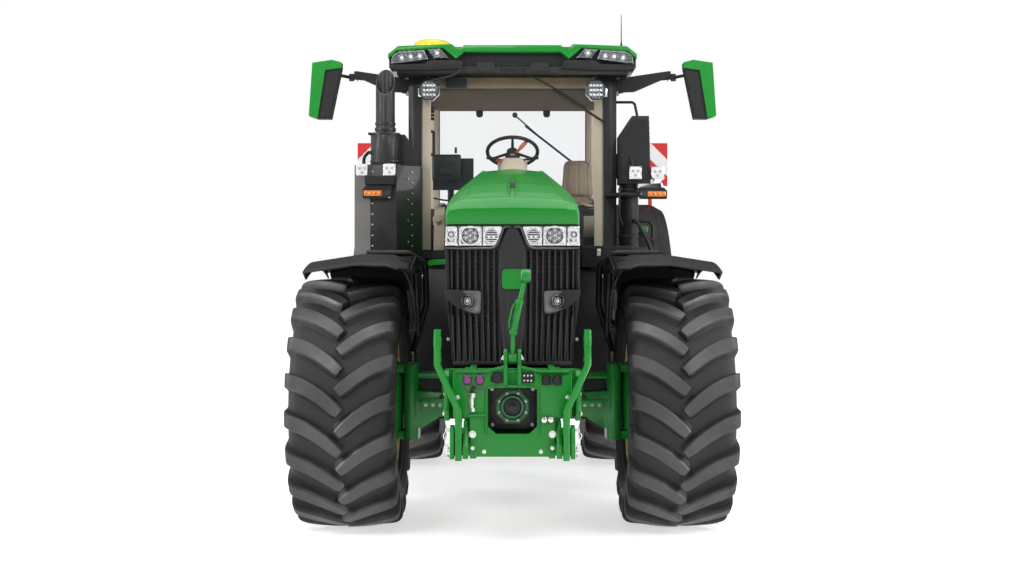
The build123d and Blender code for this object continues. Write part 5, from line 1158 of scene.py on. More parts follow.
def add_mirrors():
    """The green backs, the glasses and the joints of the mirrors."""
    low_y, high_y = CAB - 0.42, CAB - 0.34
    shell, glass, knuckles = Form(), Form(), Form()
    band = [(1.409, 3.083), (1.271, 3.104), (1.203, 3.086), (1.203, 3.046), (1.318, 3.03), (1.372, 2.69),
            (1.434, 2.708)]
    for _ in both_sides():
        shell.prism(band, "y", low_y + 0.03, low_y - 0.014)
        pane = [(1.385, 3.06), (1.275, 3.076), (1.225, 3.062), (1.292, 2.712), (1.37, 2.712),
            (1.408, 2.725)]
        glass.prism(pane, "y", high_y - 0.002, high_y + 0.003)
        knuckles.prism([(1.215, 3.03), (1.305, 3.02), (1.352, 2.7), (1.29, 2.7)], "y",
                       low_y + 0.002, low_y - 0.005)
        knuckles.prism([(0.803, 2.936), (0.803, 3.037), (0.85, 3.047), (1.154, 3.092), (1.168, 3.088),
                                 (1.168, 3.056), (1.154, 3.05), (0.9, 2.94)], "y", CAB + 0.02, CAB + 0.062)
        knuckles.rod((1.188, CAB + 0.04, 3.02), (1.188, CAB + 0.04, 3.072), 0.02)
        knuckles.rod((0.8, CAB + 0.04, 2.93), (0.8, CAB + 0.04, 3.035), 0.018)
        knuckles.box(0.766, 0.8, CAB + 0.02, CAB + 0.06, 2.95, 3.025)
        for x in (0.93, 1.0, 1.07, 1.14):
            knuckles.box(x, x + 0.006, CAB + 0.02, CAB + 0.026, 3.015, 3.05)
        knuckles.rod((1.3, CAB - 0.37, 3.04), (1.3, CAB - 0.33, 3.04), 0.022)
    piece(shell, "mirror_backs", "green paint", 0.003)
    piece(glass, "mirror_glasses", "mirror silver", 0.001)
    piece(knuckles, "mirror_joints", "moulded black", 0.002)


def add_wipers():
    """The two wipers and the washer pipe."""
    arms = Form()
    y = CAB + 0.004
    arms.prism(rounded([(-0.06, 3.062), (-0.045, 3.145), (0.06, 3.145), (0.075, 3.062)], 0.012), "y",
        CAB - 0.03, CAB - 0.11)
    arms.rod((0.01, CAB - 0.115, 3.105), (0.01, CAB - 0.02, 3.105), 0.02)
    arms.rod((0.01, CAB - 0.12, 3.105), (0.3, y - 0.022, 2.965), 0.0085, 0.006, 10)
    arms.rod((0.3, y - 0.022, 2.965), (0.545, y - 0.012, 2.815), 0.006, 0.004, 10)
    arms.prism([(0.2, 3.005), (0.214, 3.022), (0.69, 2.712), (0.676, 2.7)], "y", y - 0.002, y - 0.01)
    for _ in both_sides():
        arms.box(0.09, 0.34, CAB - 0.155, CAB - 0.03, 3.052, 3.095)
        arms.box(0.13, 0.26, CAB - 0.16, CAB - 0.03, 3.06, 3.128)
    arms.pipe([(-0.37, CAB - 0.145, 3.135), (-0.375, CAB - 0.15, 3.07), (-0.43, CAB - 0.14, 3.035),
               (-0.62, CAB - 0.08, 3.0), (-0.7, CAB - 0.02, 2.975)], 0.011, 12, 0.03)
    piece(arms, "windscreen_wiper", "black paint", 0.0015)
    rear = Form()
    back = CAB + 1.4
    rear.rod((0.02, back + 0.01, 2.93), (0.02, back + 0.045, 2.93), 0.022)
    rear.rod((0.02, back + 0.036, 2.93), (0.33, back + 0.02, 2.66), 0.007, 0.005, 10)
    rear.prism([(0.1, 2.832), (0.112, 2.846), (0.56, 2.498), (0.548, 2.484)], "y", back + 0.004,
        back + 0.012)
    piece(rear, "rear_wiper", "black paint", 0.001)


def add_roof_fittings():
    """The receiver's dome and the antenna, in place of the plain roof fittings."""
    tip_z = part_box("roof_fittings")[1][2]
    dome, foot = Form(), Form()
    centre = (-0.595, CAB + 0.1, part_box("roof")[1][2])
    dome.turned([(0.004, 0.001), (0.004, 0.134), (0.03, 0.136), (0.052, 0.128), (0.064, 0.105),
        (0.07, 0.06), (0.0715, 0.001)], centre, UP, 48)
    for k in range(6):
        angle = pi / 3 * k
        dome.rod((centre[0] + 0.05 * cos(angle), centre[1] + 0.05 * sin(angle), centre[2] + 0.0695),
            (centre[0] + 0.122 * cos(angle), centre[1] + 0.122 * sin(angle), centre[2] + 0.051), 0.006,
            0.004, 8)
    mast = piece(dome, "receiver_dome", "dome yellow", 0.001)
    foot.rod((0.8, CAB, 3.243), (0.8, CAB, 3.275), 0.026, 0.012)
    foot.rod((0.8, CAB, 3.275), (0.8, CAB, tip_z), 0.0045, 0.0022, 8)
    foot.rod((0.8, CAB, 3.275), (0.8, CAB, 3.3), 0.008, 0.006, 10)
    for _ in both_sides():
        foot.turned([(0, 0.03), (0.014, 0.03), (0.022, 0.024), (0.022, 0.001)], (0.745, CAB - 0.04, 3.2405),
            UP, 20)
    antenna = piece(foot, "antenna", "moulded black", 0)
    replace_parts(mast, "roof_fittings")
    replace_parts(antenna, "roof_fittings")


# ---- exhaust, treatment box, intake and steps
def add_exhaust():
    """The straps, screws and edges of the exhaust side and the intake side."""
    straps, screws, greys, bars = Form(), Form(), Form(), Form()
    x, y = -0.91, CAB - 0.265
    hoop(straps, (x, y, 2.586), UP, 0.1085, 0.0045, 0.016, 48)
    hoop(straps, (x, y, 2.392), UP, 0.1085, 0.0045, 0.014, 48)
    hoop(straps, (x, y, 2.66), UP, 0.0735, 0.0055, 0.018, 48)
    straps.rod((x - 0.1, y - 0.05, 2.594), (x - 0.115, y - 0.058, 2.594), 0.01)
    # Bracket between the sleeve and the cab's post.
    straps.prism([(-0.81, 2.372), (-0.675, 2.372), (-0.675, 2.46), (-0.775, 2.6), (-0.812, 2.6)], "y",
        y + 0.055, y + 0.063)
    for row in range(9):
        z = 1.72 + row * 0.075
        screws.bolt((-0.716, CAB - 0.2965, z), (0.69, -0.72, 0), 0.0052)
        screws.bolt((-0.99, CAB - 0.3805, z), AHEAD, 0.0052)
        if row % 2:
            screws.bolt((-0.742, CAB - 0.3225, z + 0.03), (0.69, -0.72, 0), 0.0052)
        screws.bolt((-1.1205, CAB - 0.08, z), RIGHT, 0.0055)
        screws.bolt((-1.1205, CAB - 0.3, z), RIGHT, 0.0055)
    # Panels of the treatment box.
    greys.prism([(-1.119, CAB - 0.3525), (-1.002, CAB - 0.3815), (-1.003, CAB - 0.3855),
        (-1.121, CAB - 0.3565)], "z", 1.69, 2.36)
    bars.pipe([(-1.06, CAB - 0.3, 2.37), (-1.06, CAB - 0.3, 2.43), (-1.02, CAB - 0.3, 2.47),
        (-0.985, CAB - 0.29, 2.44), (-0.985, CAB - 0.29, 2.37)], 0.012, 12, 0.03)
    bars.box(-1.04, -0.83, CAB - 0.44, CAB - 0.38, 2.225, 2.285)
    for k in range(7):
        bars.box(-1.126, -1.119, CAB - 0.3, CAB - 0.06, 1.76 + 0.075 * k, 1.785 + 0.075 * k)
    # Intake side: ribs on the housing, canister cap and clamps, lamp arm.
    for k in range(9):
        z = 2.4 + 0.035 * k
        bars.box(0.998 - (z - 2.25) * 0.0245, 1.004 - (z - 2.25) * 0.0245, CAB - 0.14, CAB + 0.04, z,
            z + 0.014)
    bars.prism(rounded([(0.79, 2.27), (0.985, 2.27), (0.978, 2.715), (0.872, 2.715), (0.79, 2.585)], 0.02),
        "y", CAB - 0.16, CAB - 0.166)
    bars.turned([(0, 0.062), (0, 0.078), (0.018, 0.078), (0.03, 0.066), (0.036, 0.001)],
        (0.85, CAB - 0.06, 2.2), UP, 40)
    hoop(bars, (0.85, CAB - 0.06, 1.86), UP, 0.076, 0.006, 0.02, 40)
    bars.pipe([(0.8, CAB - 0.12, 2.24), (0.775, CAB - 0.155, 2.2), (0.772, CAB - 0.155, 2.02),
        (0.8, CAB - 0.125, 1.95)], 0.008, 10, 0.03)
    bars.pipe([(0.7, CAB - 0.02, 2.165), (0.8, CAB - 0.165, 2.17), (0.9, CAB - 0.172, 2.165),
        (1.0, CAB - 0.15, 2.2)], 0.02, 12, 0.05)
    # Grab rail beside the post.
    bars.pipe([(0.775, CAB - 0.015, 2.42), (0.8, CAB - 0.05, 2.43), (0.862, CAB - 0.17, 2.44),
        (0.868, CAB - 0.185, 2.38), (0.868, CAB - 0.185, 2.3)], 0.012, 12, 0.03)
    piece(straps, "exhaust_straps", "black paint", 0.0012)
    piece(screws, "panel_screws", "zinc steel", 0.0005)
    piece(greys, "treatment_panel", "satin grey", 0.002)
    piece(bars, "intake_trim", "moulded black", 0.0025)


def add_steps():
    """The treads, handrails, tool box fittings and tank fittings."""
    treads, rails, latch, green = Form(), Form(), Form(), Form()
    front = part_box("side_tanks")[0][1]
    for number in range(4):
        z = 0.43 + 0.26 * number + 0.03
        for row in range(5):
            for column in range(10):
                if (row + column) % 2:
                    continue
                x = 0.835 + 0.045 * row
                y = front + 0.085 + 0.042 * column
                treads.turned([(0, 0.012), (0.004, 0.01), (0.006, 0.006), (0.002, 0.005), (0.002, 0.001)],
                    (x, y, z), UP, 10)
        treads.box(1.046, 1.064, front + 0.062, front + 0.49, z - 0.03, z + 0.006)
    rails.pipe([(1.045, front + 0.046, 1.2), (1.052, front + 0.04, 1.45), (0.99, front + 0.06, 1.8),
        (0.9, front + 0.12, 1.98), (0.86, front + 0.2, 1.98)], 0.014, 12, 0.06)
    rails.pipe([(1.03, front + 0.505, 1.18), (1.03, front + 0.51, 1.38), (0.86, front + 0.6, 1.62)], 0.014,
        12, 0.06)
    # Tool box: lid line, latch and bare plate.
    box_low, box_high = (0.49, CAB - 0.33, 1.645), (0.86, CAB - 0.005, 1.79)
    rails.prism(rounded([(box_low[0] - 0.003, box_low[1] - 0.004),
        (box_high[0] + 0.004, box_low[1] - 0.004), (box_high[0] + 0.004, box_high[1]),
        (box_low[0] - 0.003, box_high[1])], 0.012), "z", 1.772, 1.796)
    latch.prism(rounded_box(0.6, 0.625, 1.725, 1.775, 0.004), "y", box_low[1], box_low[1] - 0.01)
    latch.rod((0.605, box_low[1] - 0.014, 1.762), (0.62, box_low[1] - 0.014, 1.762), 0.006)
    green.prism(rounded_box(0.735, 0.778, 1.664, 1.7, 0.008), "y", box_low[1], box_low[1] - 0.004)
    # Green fuel cap and its guard on the left, and the small green cover on the right.
    disc(green, (0.955, CAB + 0.1, 1.915), (0, -0.25, 1), 0.052, 0.03, 0.006, 32)
    rails.rod((0.955, CAB + 0.1, 1.8), (0.955, CAB + 0.1, 1.918), 0.044)
    rails.prism(rounded([(0.8, 1.795), (1.05, 1.795), (1.05, 1.85), (0.9, 1.87), (0.8, 1.83)], 0.01), "y",
        CAB + 0.02, CAB + 0.2)
    rails.pipe([(0.87, CAB + 0.03, 1.86), (0.87, CAB + 0.03, 1.96), (0.895, CAB + 0.03, 1.985),
        (1.01, CAB + 0.03, 1.985), (1.035, CAB + 0.03, 1.95), (1.035, CAB + 0.03, 1.86)], 0.012, 12, 0.02)
    green.prism(rounded([(-0.605, 1.655), (-0.425, 1.672), (-0.425, 1.7), (-0.56, 1.702), (-0.605, 1.69)],
        0.012), "y", CAB - 0.14, CAB - 0.24)
    # Tank fittings and the bands round the tanks.
    band = [(0.28, 0.556), (0.735, 0.556), (0.785, 0.577), (0.804, 0.628), (0.804, 1.132), (0.784, 1.182),
            (0.732, 1.204), (0.28, 1.204)]
    for sign in (1, -1):
        for x, z in ((0.46, 1.13), (0.68, 1.13), (0.46, 1.58), (0.64, 1.58)):
            latch.bolt((sign * x, front, z), AHEAD, 0.01)
        rails.box(sign * 0.3, sign * 0.802, front - 0.004, front + 0.002, 0.86, 0.9)
        for y in (0.35, 0.95):
            rails.prism(mirrored(band, sign), "y", front + y, front + y + 0.05)
    piece(treads, "step_treads", "black paint", 0)
    piece(rails, "rails_and_box_trim", "moulded black", 0.0025)
    piece(latch, "latches", "zinc steel", 0.001)
    piece(green, "green_caps", "green paint", 0.002)


# ---- wheels
def add_wheels():
    """The bolts, caps, valve and hub covers of the wheels."""
    for end, hub_r, count, flange in (("front", 0.15, 10, 0.955), ("rear", 0.12, 12, 0.845)):
        for name, sign in SIDES:
            hub = pivot[f"roll_{end}_{name}"]
            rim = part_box(f"{end}_rim_{name}")
            barrel = (rim[1][2] - rim[0][2]) / 2 - 0.037
            bolts, cap, ribs = Form(), Form(), Form()
            outer = sign * (flange + 0.044)
            for k in range(count):
                angle = 2 * pi * k / count
                r = hub_r + 0.03
                bolts.bolt((outer, hub[1] + r * cos(angle), hub[2] + r * sin(angle)), (sign, 0, 0), 0.015)
            face = sign * (flange + 0.132)
            cap.turned([(0, 0.001), (0, hub_r * 0.7), (0.022, hub_r * 0.66), (0.034, hub_r * 0.5),
                (0.036, 0.001)], (face, hub[1], hub[2]), (sign, 0, 0), 40)
            for k in range(6):
                angle = 2 * pi * (k + 0.5) / 6
                bolts.bolt((face + sign * 0.024, hub[1] + hub_r * 0.56 * cos(angle),
                    hub[2] + hub_r * 0.56 * sin(angle)), (sign, 0, 0), 0.008)
            for k in range(12):
                angle = 2 * pi * (k + 0.5) / 12
                seat = barrel - 0.03
                side_x = hub[0] + sign * (rim[1][0] - rim[0][0]) / 6
                ribs.box(*sorted((side_x - 0.05, side_x + 0.075)), hub[1] + seat * cos(angle) - 0.03,
                         hub[1] + seat * cos(angle) + 0.03, hub[2] + seat * sin(angle) - 0.03,
                         hub[2] + seat * sin(angle) + 0.03)
                bolts.bolt((side_x + sign * 0.075, hub[1] + seat * cos(angle), hub[2] + seat * sin(angle)),
                           (sign, 0, 0), 0.012)
            ring = hub[0] + sign * ((rim[1][0] - rim[0][0]) / 2 - 0.012)
            ribs.turned([(0, barrel - 0.022), (0, barrel), (sign * 0.012, barrel),
                (sign * 0.012, barrel - 0.016), (0, barrel - 0.022)], (ring - sign * 0.02, hub[1], hub[2]),
                LEFT, 72)
            bolts.rod((hub[0] + sign * 0.16, hub[1] + barrel - 0.01, hub[2]),
                (hub[0] + sign * 0.2, hub[1] + barrel - 0.035, hub[2]), 0.005)
            piece(bolts, f"{end}_wheel_bolts_{name}", "worn steel", 0.0008, f"wheel_{end}_{name}")
            piece(cap, f"{end}_hub_cap_{name}", "yellow paint", 0.002, f"wheel_{end}_{name}")
            piece(ribs, f"{end}_rim_lugs_{name}", "yellow paint", 0.004, f"wheel_{end}_{name}")


# ---- cab interior and seats
ROOM_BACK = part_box("cab_windows")[1][1] - 0.05
# Columns: name, CAD node, centre, half sizes across, up and through, standing, narrowing, voxel,
# upright seams, level seams
pad_table = (
    ("operator_cushion", "operator_seat", (0, 0.61, 1.862), (0.245, 0.23, 0.05), False, 0.04, 0.008,
     (-0.62, 0.62), (-0.45, 0.1)),
    ("operator_backrest", "operator_seat", (0, 0.858, 2.185), (0.235, 0.248, 0.052), True, 0.22, 0.008,
     (-0.62, 0.62), (-0.35, 0.25, 0.62)),
    ("instructor_cushion", "instructor_seat", (0.533, 0.805, 2.172), (0.142, 0.168, 0.034), False,
     0.03, 0.006, (-0.5, 0.5), ()),
    ("instructor_backrest", "instructor_seat", (0.533, 0.953, 2.372), (0.15, 0.168, 0.036), True,
     0.2, 0.006, (-0.52, 0.02, 0.52), (0.66,)),
)


def pad_form(half, narrow):
    """Crowned pillow, thin along z, its sides pulled in between the corners."""
    across, along, through = half
    form, rings = Form(), []
    for k in range(13):
        w = sin(pi / 2 * (k - 6) / 6.4)
        spread = (1 - abs(w) ** 2.8) ** (1 / 2.8)
        ring = []
        for i in range(56):
            a = 2 * pi * i / 56
            u = copysign(abs(cos(a)) ** 0.45, cos(a))
            v = copysign(abs(sin(a)) ** 0.45, sin(a))
            x = u * (1 - 0.03 * (1 - v * v)) * (1 - narrow * (v + 1) / 2)
            ring.append((x * across * spread, v * (1 - 0.03 * (1 - u * u)) * along * spread, w * through))
        rings.append(ring)
    form.rings(rings)
    return form


def applied(target):
    """Mesh of an object with its modifiers applied."""
    return bpy.data.meshes.new_from_object(target.evaluated_get(bpy.context.evaluated_depsgraph_get()))


def swollen(target, voxel, cap):
    """Remeshes a pad, swells it as cloth under pressure and keeps the result."""
    scene = bpy.context.scene
    remesh = target.modifiers.new("remesh", "REMESH")
    remesh.mode, remesh.voxel_size = "VOXEL", voxel
    target.data = applied(target)
    target.modifiers.clear()
    before = [v.co.copy() for v in target.data.vertices]
    cloth = target.modifiers.new("cloth", "CLOTH")
    cloth.settings.quality = 4
    cloth.settings.use_pressure = True
    cloth.settings.uniform_pressure_force = 4
    cloth.settings.effector_weights.gravity = 0
    for number in range(1, 21):
        scene.frame_set(number)
    after = applied(target)
    target.modifiers.clear()
    scene.frame_set(1)
    for vertex, start, end in zip(target.data.vertices, before, after.vertices):
        move = end.co - start
        vertex.co = start + move * min(1, cap / max(move.length, 1e-9))
    finer = target.modifiers.new("finer", "SUBSURF")
    finer.levels = finer.render_levels = 1
    target.data = applied(target)
    target.modifiers.clear()


def add_seats():
    """The operator's seat and the instructor's seat."""
    for name, node, centre, half, stands, narrow, voxel, upright, level in pad_table:
        pad = piece(pad_form(half, narrow), name, "beige leather", 0)
        swollen(pad, voxel, 0.01)
        across, along = half[:2]
        for vertex in pad.data.vertices:
            x, y, z = vertex.co
            if z > 0:
                near = [abs(x - s * across) for s in upright] + [abs(y - s * along) for s in level]
                rim = max(abs(x) / across, abs(y) / along)
                near.append(abs(rim - 0.86) * across)
                vertex.co.z -= sum(0.007 * exp(-(d / 0.005) ** 2) for d in near) * min(z / 0.02, 1)
            if stands:
                x, y, z = vertex.co
                vertex.co = (x, -z + 0.1 * (y + along) * 0.2, y)
            vertex.co += Vector(centre)
        for polygon in pad.data.polygons:
            polygon.use_smooth = True
        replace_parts(pad, node)
    shells, folds, grips = Form(), Form(), Form()
    shells.prism(rounded([(-0.235, 1.93), (0.235, 1.93), (0.2, 2.42), (-0.2, 2.42)], 0.05), "y", 0.905,
        0.922)
    shells.prism(rounded([(0.415, 2.225), (0.655, 2.225), (0.625, 2.5), (0.445, 2.5)], 0.03), "y", 0.984,
        0.994)
    shells.prism(rounded_box(-0.25, 0.25, 0.375, 0.85, 0.04), "z", 1.78, 1.815)
    shells.box(0.405, 0.54, 0.665, 0.985, 2.064, 2.135)
    for k in range(9):
        inset = 0.012 if k % 2 else 0.0
        folds.prism(rounded_box(-0.19 + inset, 0.19 - inset, 0.455 + inset, 0.835 - inset, 0.03), "z",
            1.42 + 0.04 * k, 1.46 + 0.04 * k)
    grips.prism(rounded([(0.262, 0.47), (0.305, 0.47), (0.31, 0.82), (0.262, 0.82)], 0.015), "z", 2.06, 2.1)
    grips.prism(rounded_box(0.383, 0.541, 0.66, 0.99, 0.02), "z", 1.372, 2.062)
    grips.box(0.403, 0.667, 0.645, 0.99, 2.132, 2.15)
    grips.prism(rounded_box(0.405, 0.665, 1.87, 2.058, 0.02), "y", 0.64, 0.652)
    piece(shells, "seat_shells", "moulded black", 0.004, slot="interior_plastic")
    piece(folds, "seat_bellows", "hose rubber", 0.003, slot="interior_plastic")
    piece(grips, "seat_boxes", "beige plastic", 0.006)


def add_headliner():
    """The headliner, with a lip under the ring of the cab's frame."""
    def ring(inset, z):
        front, back = CAB + 0.072 + inset, ROOM_BACK - inset
        line = [(-0.694 + inset, front), (0.694 - inset, front), (0.694 - inset, 0.66),
            (0.632 - inset, back), (-0.632 + inset, back), (-0.694 + inset, 0.66)]
        return [(x, y, z) for x, y in rounded(line, 0.05, 3)]
    liner = Form()
    liner.rings([ring(-0.035, 2.956), ring(-0.004, 2.954), ring(0.012, 2.975), ring(0.06, 3.022),
        ring(0.25, 3.032)])
    liner.prism(rounded([(-0.3, CAB + 0.25), (0.3, CAB + 0.25), (0.26, CAB + 0.75), (-0.26, CAB + 0.75)],
        0.05), "z", 3.01, 3.034)
    liner.box(-0.62, 0.62, CAB - 0.01, CAB - 0.0005, 2.958, 3.0395)
    piece(liner, "headliner", "headliner", 0.004)


def add_interior():
    """The trims, the monitors, the levers and the steering wheel."""
    trims, dark, panes = Form(), Form(), Form()
    for _ in both_sides():
        post = [(0.6, CAB + 0.034), (0.672, CAB + 0.034), (0.69, CAB + 0.095), (0.655, CAB + 0.115),
            (0.618, CAB + 0.09)]
        trims.prism(rounded(post, 0.012), "z", 1.775, 2.956)
        back = [(0.612, ROOM_BACK - 0.02), (0.655, ROOM_BACK - 0.045), (0.712, ROOM_BACK - 0.02),
            (0.705, ROOM_BACK + 0.004), (0.62, ROOM_BACK + 0.004)]
        trims.prism(rounded(back, 0.008), "z", 1.97, 2.956)
        trims.prism([(0.7, 0.655), (0.723, 0.66), (0.723, 0.712), (0.702, 0.715)], "z", 2.05, 2.956)
        trims.prism([(0.31, 1.415), (1.14, 1.415), (1.14, 2.128), (0.62, 2.13), (0.31, 1.8)], "x", 0.535,
            0.543)
        trims.prism(rounded([(0.3, 2.125), (1.15, 2.125), (1.15, 2.15), (0.36, 2.146)], 0.008), "x", 0.53,
            0.58)
        dark.box(0.54, 0.66, 0.66, 0.668, 1.955, 1.985)
        # Window catches at the rear window's top.
        dark.turned([(0, 0.001), (0, 0.026), (0.012, 0.03), (0.05, 0.028), (0.062, 0.016), (0.064, 0.001)],
                    (0.28 + 0.005 * Form.side, ROOM_BACK - 0.004, 2.962), DOWN, 16)
    trims.prism(rounded_box(-0.54, 0.54, 1.42, 2.178, 0.03), "y", 1.14, 1.152)
    # Operator's console with its panels.
    trims.prism(rounded_box(-0.545, -0.29, 0.36, 1.08, 0.04), "z", 1.45, 2.088)
    trims.prism(rounded([(0.3, 2.085), (0.72, 2.085), (0.7, 2.145), (0.34, 2.18)], 0.02), "x", -0.46, -0.34)
    trims.prism(rounded([(0.1, 1.78), (0.36, 1.62), (0.36, 2.09), (0.24, 2.12)], 0.04), "x", -0.6, -0.52)
    trims.rod((-0.575, 0.16, 2.02), (-0.575, 0.3, 1.9), 0.035, 0.025)
    # Steering column cowl.
    trims.rings([[(x * w, CAB + 0.2 + y * d, z) for x, y in rounded_box(-1, 1, -1, 1, 0.5)]
        for z, w, d in ((1.42, 0.118, 0.148), (2.2, 0.118, 0.146), (2.34, 0.116, 0.12),
        (2.42, 0.098, 0.085), (2.462, 0.072, 0.05))])
    dark.box(-0.28, 0.37, CAB + 0.16, 0.44, 1.408, 1.416)
    for x in (-0.16, -0.05, 0.17):
        dark.prism(rounded_box(x, x + 0.075, 1.55, 1.63, 0.012), "y", CAB + 0.1, CAB + 0.115)
        dark.rod((x + 0.037, CAB + 0.115, 1.59), (x + 0.037, CAB + 0.06, 1.8), 0.009)
    # Monitors, their arm and cables.
    for low_x, high_x, low_y, low_z, high_z, lean in ((-0.552, -0.302, CAB + 0.402, 2.262, 2.472, 0.0),
                                                      (-0.612, -0.392, CAB + 0.3, 2.3, 2.505, 0.05)):
        case = rounded_box(low_x, high_x, low_z, high_z, 0.014)
        dark.rings([[(x, low_y + (z - low_z) * lean + y, z)
            for x, z in (shrunk(case, inset) if inset else case)] for y, inset in ((0.0, 0.02),
            (0.012, 0.002), (0.04, 0), (0.046, 0.006))])
        dark.box(low_x + 0.06, high_x - 0.06, low_y - 0.025, low_y + 0.01, low_z + 0.05, high_z - 0.06)
        panes.prism(shrunk(case, 0.018), "y", low_y + 0.047, low_y + 0.049)
    dark.pipe([(-0.48, 0.36, 2.08), (-0.48, 0.24, 2.22), (-0.46, 0.22, 2.34)], 0.02, 12, 0.05)
    dark.pipe([(-0.6, 0.1, 2.17), (-0.5, 0.12, 2.15), (-0.4, 0.2, 2.17), (-0.38, 0.21, 2.28)], 0.007, 8,
        0.05)
    dark.pipe([(-0.43, 0.1, 2.51), (-0.43, 0.1, 2.555)], 0.01, 10)
    # Mirror case behind the top of the windscreen, handle and switches on the left trim.
    dark.prism(rounded([(-0.492, 2.962), (-0.334, 2.962), (-0.338, 3.032), (-0.488, 3.032)], 0.012), "y",
        CAB - 0.02, CAB - 0.006)
    dark.pipe([(-0.61, CAB + 0.09, 2.655), (-0.585, CAB + 0.1, 2.65), (-0.585, CAB + 0.1, 2.485),
        (-0.61, CAB + 0.09, 2.48)], 0.011, 12, 0.012)
    for z in (2.735, 2.762, 2.789, 2.816):
        dark.prism(rounded_box(-0.608, -0.58, z, z + 0.021, 0.005), "y", CAB + 0.075, CAB + 0.092)
    # Stalks, wheel and knobs.
    spin = Vector((0, 0.5, 0.866))
    hub = Vector((0, CAB + 0.3, 2.52))
    wheel = Form()
    wheel.turned([(0.014 * sin(a), 0.19 + 0.014 * cos(a)) for a in (2 * pi * k / 12 for k in range(13))],
                 hub, spin, 72)
    across, up = Vector((1, 0, 0)), Vector((0, 0.866, -0.5))
    for angle in (30, 150, 270):
        out = across * cos(radians(angle)) + up * sin(radians(angle))
        wheel.rod(hub - spin * 0.004, hub + out * 0.18, 0.013, 0.009, 12)
    wheel.turned([(-0.03, 0.001), (-0.03, 0.036), (0.004, 0.045), (0.012, 0.04), (0.017, 0.001)], hub, spin,
        36)
    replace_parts(piece(wheel, "steering_wheel_rim", "moulded black", 0), "steering_wheel")
    for _ in both_sides():
        dark.rod((0.06, CAB + 0.2, 2.445), (0.165, CAB + 0.19, 2.465), 0.008, 0.011, 12)
        dark.rod((0.16, CAB + 0.19, 2.464), (0.195, CAB + 0.19, 2.47), 0.016, 0.014, 14)
    dark.box(-0.055, 0.055, CAB + 0.17, CAB + 0.25, 2.462, 2.482)
    knobs = Form()
    knobs.rod((0.03, CAB + 0.22, 2.505), (0.06, CAB + 0.2, 2.54), 0.008, 0.012, 12)
    knobs.rod((0.06, CAB + 0.2, 2.54), (0.122, CAB + 0.19, 2.606), 0.017, 0.012, 14)
    red = Form()
    disc(red, (-0.105, CAB + 0.12, 2.435), (0, -0.6, 0.8), 0.018, 0.014, 0.004, 20)
    for x, y in ((-0.37, 0.42), (-0.42, 0.52), (-0.37, 0.6)):
        dark.rod((x, y, 2.14), (x, y - 0.02, 2.2), 0.007, 0.007, 10)
        disc(knobs, (x, y - 0.02, 2.195), (0, -0.2, 1), 0.016, 0.018, 0.006, 18)
    piece(trims, "interior_trims", "beige plastic", 0.004)
    piece(dark, "interior_controls", "moulded black", 0.0025)
    piece(panes, "monitor_screens", "dark screen", 0)
    piece(knobs, "orange_levers", "orange knob", 0.001)
    piece(red, "red_button", "red knob", 0.001)
    pane = Form()
    pane.box(-0.64, 0.64, CAB - 0.026, CAB - 0.023, 2.955, 3.038)
    piece(pane, "windscreen_top", "window glass", 0)


# ---- rear of the tractor
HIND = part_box("rear_pto")[0][1]


